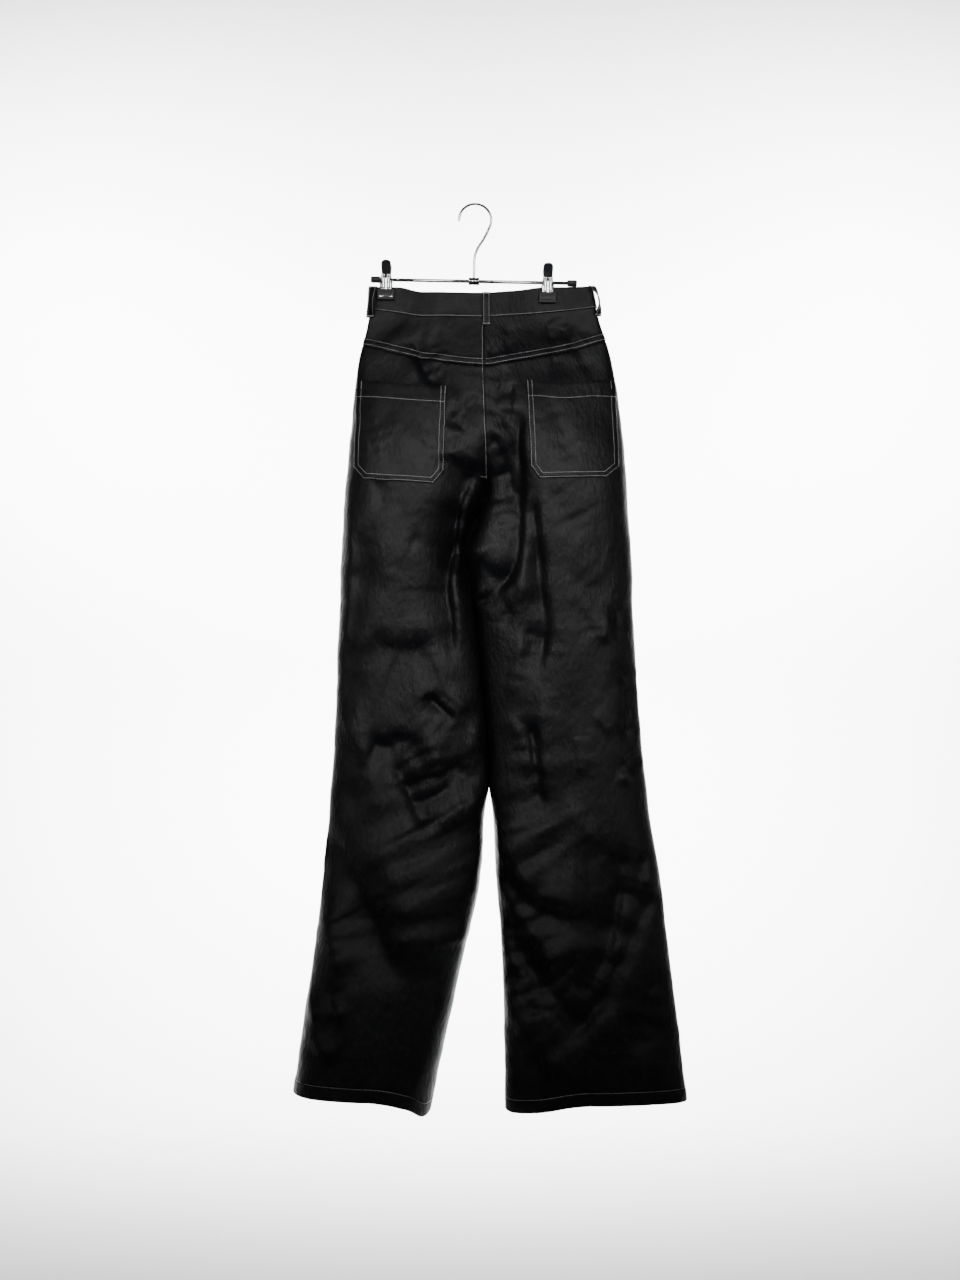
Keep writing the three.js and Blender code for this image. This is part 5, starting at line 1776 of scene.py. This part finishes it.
class TROUSERS_OT_topstitching(bpy.types.Operator):
    """Sew the light topstitching"""

    bl_idname = "trousers.topstitching"
    bl_label = "Topstitching"

    def execute(self, context):
        threads = context.scene.trousers_threads
        sewn = (self.band, self.yokes, self.centre_seam, self.pockets)
        for sew in (*sewn, self.hems, self.fly, self.loops):
            sew(Seamstress(threads))
        return {"FINISHED"}

    def band(self, sewing):
        stations = band_stations()
        height, radius, line = 36.0, BAND_CLOTH / 2, 1.8
        down = np.full(len(stations), (height - radius - line) / (height - 2 * radius))
        points, normals = band_points(stations, (down, 0 * down, 0 * down + 1))
        sewing.run(points + normals * 0.28, normals)
        sewing.piece("stitches_waistband")

    def yokes(self, sewing):
        for side in CLIP_NAMES:
            quarter = QUARTERS[side, "back"]
            even = np.linspace(0.012, 0.992, 200)
            share = quarter.share(even, 90)
            for above in YOKE_LINES:
                drop = quarter.line("yoke", share) - above
                sewing.on_quarter(quarter, even, drop, CLOTH + 0.62)
        sewing.piece("stitches_yokes")

    def centre_seam(self, sewing):
        drop = np.linspace(39.5, 246, 200)
        centre = along(BETWEEN, "x", drop) - CENTRE_LINE
        sewing.on_face("back", np.stack([centre, drop], -1), CLOTH + 0.3)
        tack = np.stack([np.linspace(-5, 5, 12), np.full(12, 244.0)], -1)
        sewing.on_face("back", tack, CLOTH + 0.4, pitch=1.2, length=1.6)
        sewing.piece("stitches_centre_seam")

    def pockets(self, sewing):
        for side in CLIP_NAMES:
            outline = pocket_outline(side)

            def sew(line, lift, side=side, outline=outline, **how):
                x, drop = line.T
                drop = sagged(side, x, drop, outline.inside(x, drop, [0]))
                sewing.on_face("back", np.stack([x, drop], -1), lift, **how)

            for distance in POCKET_LINES:
                sew(outline.inset_line(1, 0, distance, 1.5), 3.2)
            mouth = outline.inset_line(0, 1, MOUTH_LINE, 1.5)
            sew(mouth, 3.1 + gape(MOUTH_LINE, outline.inside(*mouth.T, [1, 5])))
            for distance in POCKET_LINES:
                for corner, edge, way in ((1, 1, outline.way[1]), (0, 5, -outline.way[5])):
                    start = outline.points[corner] + outline.inward[edge] * distance
                    bar = np.array([start + way * s for s in np.linspace(0.6, 10.5, 14)])
                    sew(bar, 3.75, pitch=1.3, length=2.2)
        sewing.piece("stitches_pockets")

    def hems(self, sewing):
        for (side, face), quarter in QUARTERS.items():
            even = np.linspace(0.004, 0.996, 260)
            share = quarter.share(even, 1040)
            drop = quarter.hem(share) - HEM_FOLD + HEM_LINE
            sewing.on_quarter(quarter, even, drop, CLOTH + 0.35)
        sewing.piece("stitches_hems")

    def fly(self, sewing):
        outline = fly_outline()
        for distance in FLY_LINES:
            sewing.on_face("front", outline.inset_line(4, 0, distance, 2.0), 3.05)
        drop = np.linspace(200, 248, 40)
        centre = along(BETWEEN, "x", drop) - CENTRE_LINE
        sewing.on_face("front", np.stack([centre, drop], -1), CLOTH + 0.3)
        sewing.piece("stitches_fly")

    def loops(self, sewing):
        for name in LOOPS:
            loop = BeltLoop(name)
            normals = np.tile(loop.facing, (60, 1))
            for beside in LOOP_LINES:
                points = loop.at(np.linspace(0.03, 0.97, 60), beside, LOOP_CLOTH + 0.32)
                sewing.run(points, normals, pitch=3.2)
            for down in (0.035, 0.955):
                points = loop.at(down, np.linspace(-4.8, 4.8, 60), LOOP_CLOTH + 0.55)
                sewing.run(points, normals, pitch=1.15, length=2.1, turned=True)
        sewing.piece("stitches_loops")


class TROUSERS_OT_rail(bpy.types.Operator):
    """Make the hanger's rod and its two end caps"""

    bl_idname = "trousers.rail"
    bl_label = "Hanger rod and caps"

    def execute(self, context):
        low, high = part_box("hanger_rod")
        half = (high.x - low.x) / 2 / math.cos(TILT) / MM
        end = [(1.9, half), (2.25, half - 0.35)]
        profile = [(0, -half), *((radius, -z) for radius, z in end), *end[::-1], (0, half)]
        mesh = turned_profile("rod", profile, rail_frame(), 32)
        add_piece("rod", mesh, ["chromed_steel"], "chromed_steel", "hanger_rod")
        for side, sign in (("left", -1), ("right", 1)):
            start = RAIL_MIDDLE + RAIL_WAY * sign * (half - CAP_REACH) * MM
            matrix = facing_frame(start, RAIL_WAY * sign)
            mesh = turned_profile("cap", CAP_PROFILE, matrix, 36)
            add_piece(f"rod_cap_{side}", mesh, ["black_rubber"], "black_rubber", "cap_" + side)
        return {"FINISHED"}


class TROUSERS_OT_hook(bpy.types.Operator):
    """Make the hanger's wire hook and its collar"""

    bl_idname = "trousers.hook"
    bl_label = "Hanger hook"

    def execute(self, context):
        collar = turned_profile("collar", COLLAR_PROFILE, rail_frame(), 40)
        mesh = joined("hook", [hook_mesh(), collar])
        add_piece("hook_wire", mesh, ["chromed_steel"], "chromed_steel", "hook")
        return {"FINISHED"}


class TROUSERS_OT_clips(bpy.types.Operator):
    """Make the two spring clips with their rubber pads"""

    bl_idname = "trousers.clips"
    bl_label = "Spring clips"

    def execute(self, context):
        for side in CLIP_NAMES:
            for face, sign, inset in (("front", 1, 0.0), ("back", -1, 1.3)):
                name = f"clip_{side}_jaw_{face}"
                mesh = jaw_mesh(name, side, sign, inset)
                add_piece(name + "_metal", mesh, ["chromed_steel"], "chromed_steel", name)
                name = f"clip_{side}_pad_{face}"
                mesh = pad_mesh(name, side, sign)
                add_piece(name + "_rubber", mesh, ["black_rubber"], "black_rubber", name)
                bar = "chromed_steel" if side == "left" else "black_rubber"
                add_piece(f"clip_{side}_bar_{face}", tongue_mesh(name, side, sign), [bar], bar)
            name = f"clip_{side}_spring"
            mesh = spring_mesh(name, side)
            add_piece(name + "_wire", mesh, ["chromed_steel"], "chromed_steel", name)
        return {"FINISHED"}


class TROUSERS_OT_stage(bpy.types.Operator):
    """Set the floor, the lights and the camera"""

    bl_idname = "trousers.stage"
    bl_label = "Stage"

    def execute(self, context):
        settings = context.scene.trousers_stage
        self.floor(settings)
        top, middle, narrow, broad = Vector((0, 0, -0.15)), Vector((0, 0, -0.43)), 28, 80
        self.light("high_light", (-0.3, -2.6, 1.5), top, (2.0, 0.6), settings.high, narrow)
        for name, x in (("left", -0.95), ("right", 0.95)):
            strength = getattr(settings, name)
            self.light(name + "_light", (x, -2.6, 0.35), middle, (0.9, 0.6), strength, narrow)
        for side in (-1, 1):
            place, name = (side * 3.0, -1.7, -0.1), f"side_light_{side + 1}"
            self.light(name, place, middle, (0.8, 1.4), settings.side, narrow)
            place, target = (side * 2.1, 1.1, 1.0), Vector((side * 0.2, 2.6, -0.5))
            self.light(f"wash_{side + 1}", place, target, (1.2, 1.2), settings.wash, broad)
        self.surroundings(context.scene)
        self.camera(context.scene, settings.distance)
        return {"FINISHED"}

    def camera(self, scene, distance):
        """A level camera that looks at the back of the trousers."""
        half_height, across, level = 0.832, 0.006, -0.565
        camera = bpy.data.objects.new("camera", bpy.data.cameras.new("camera"))
        camera.data.sensor_fit = "VERTICAL"
        camera.data.lens = camera.data.sensor_height / 2 / (half_height / distance)
        camera.data.clip_end = 50
        camera.location = (across, -distance, level)
        camera.rotation_euler = (math.pi / 2, 0, 0)
        scene.collection.objects.link(camera)
        scene.camera = camera

    def floor(self, settings):
        """A floor that curves up into a backdrop."""
        radius, back, high, wide = 1.0, 2.6, 3.2, 6.0
        turn = np.linspace(0, math.pi / 2, 16)
        curve = np.stack([back - radius * (1 - np.sin(turn)), radius * (1 - np.cos(turn))], -1)
        line = np.array([(-0.2, 0.0), *curve, (back, high)])
        mesh, x, at = grid("stage_floor", [-wide, 0, wide], np.arange(len(line)))
        at = at.astype(int)
        set_corners(mesh, np.stack([x, line[at, 0], settings.floor + line[at, 1]], -1))
        mesh.materials.append(finish("stage"))
        mesh.polygons.foreach_set("use_smooth", [True] * len(mesh.polygons))
        floor = bpy.data.objects.new("stage_floor", mesh)
        bpy.context.scene.collection.objects.link(floor)

    def surroundings(self, scene):
        """A pale room as the camera sees it, which lights the cloth only faintly."""
        world = bpy.data.worlds.new("studio")
        world.use_nodes = True
        tree = world.node_tree
        tree.nodes.clear()
        dim, pale, chosen, out = (
            tree.nodes.new("ShaderNode" + kind)
            for kind in ("Background", "Background", "MixShader", "OutputWorld")
        )
        dim.inputs["Color"].default_value = (0.9, 0.93, 1.0, 1)
        dim.inputs["Strength"].default_value = 0.04
        pale.inputs["Color"].default_value = (0.9, 0.9, 0.9, 1)
        seen = tree.nodes.new("ShaderNodeLightPath").outputs["Is Camera Ray"]
        for socket, source in enumerate((seen, dim.outputs[0], pale.outputs[0])):
            tree.links.new(source, chosen.inputs[socket])
        tree.links.new(chosen.outputs[0], out.inputs[0])
        scene.world = world

    def light(self, name, place, target, size, power, spread):
        lamp = bpy.data.lights.new(name, "AREA")
        lamp.spread = math.radians(spread)
        lamp.shape = "RECTANGLE"
        lamp.size, lamp.size_y = size
        lamp.energy = power
        holder = bpy.data.objects.new(name, lamp)
        holder.location = place
        holder.rotation_euler = (target - Vector(place)).to_track_quat("-Z", "Y").to_euler()
        bpy.context.scene.collection.objects.link(holder)


PIECES = (
    TROUSERS_OT_waistband,
    TROUSERS_OT_yokes,
    TROUSERS_OT_legs,
    TROUSERS_OT_pockets,
    TROUSERS_OT_fly,
    TROUSERS_OT_button,
    TROUSERS_OT_loops,
    TROUSERS_OT_topstitching,
    TROUSERS_OT_rail,
    TROUSERS_OT_hook,
    TROUSERS_OT_clips,
    TROUSERS_OT_stage,
)


class TROUSERS_PT_pieces(bpy.types.Panel):
    """Lists the pieces in the order in which they are made"""

    bl_idname = "TROUSERS_PT_pieces"
    bl_label = "Faux Leather Trousers"
    bl_space_type = "VIEW_3D"
    bl_region_type = "UI"
    bl_category = "Trousers"

    def draw(self, context):
        for group in SETTINGS:
            box = self.layout.box()
            settings = getattr(context.scene, group)
            for key in settings.__annotations__:
                box.prop(settings, key)
        for piece in PIECES:
            self.layout.operator(piece.bl_idname)


SETTINGS = {
    "trousers_cloth": TrousersCloth,
    "trousers_threads": TrousersThreads,
    "trousers_looks": TrousersLooks,
    "trousers_stage": TrousersStage,
}
CLASSES = (*SETTINGS.values(), *PIECES, TROUSERS_PT_pieces)


def register():
    for made in CLASSES:
        bpy.utils.register_class(made)
    for name, group in SETTINGS.items():
        setattr(bpy.types.Scene, name, PointerProperty(type=group))


def unregister():
    for name in SETTINGS:
        delattr(bpy.types.Scene, name)
    for made in reversed(CLASSES):
        bpy.utils.unregister_class(made)


def main():
    register()
    for piece in PIECES:
        family, name = piece.bl_idname.split(".")
        getattr(getattr(bpy.ops, family), name)()


if __name__ == "__main__":
    main()
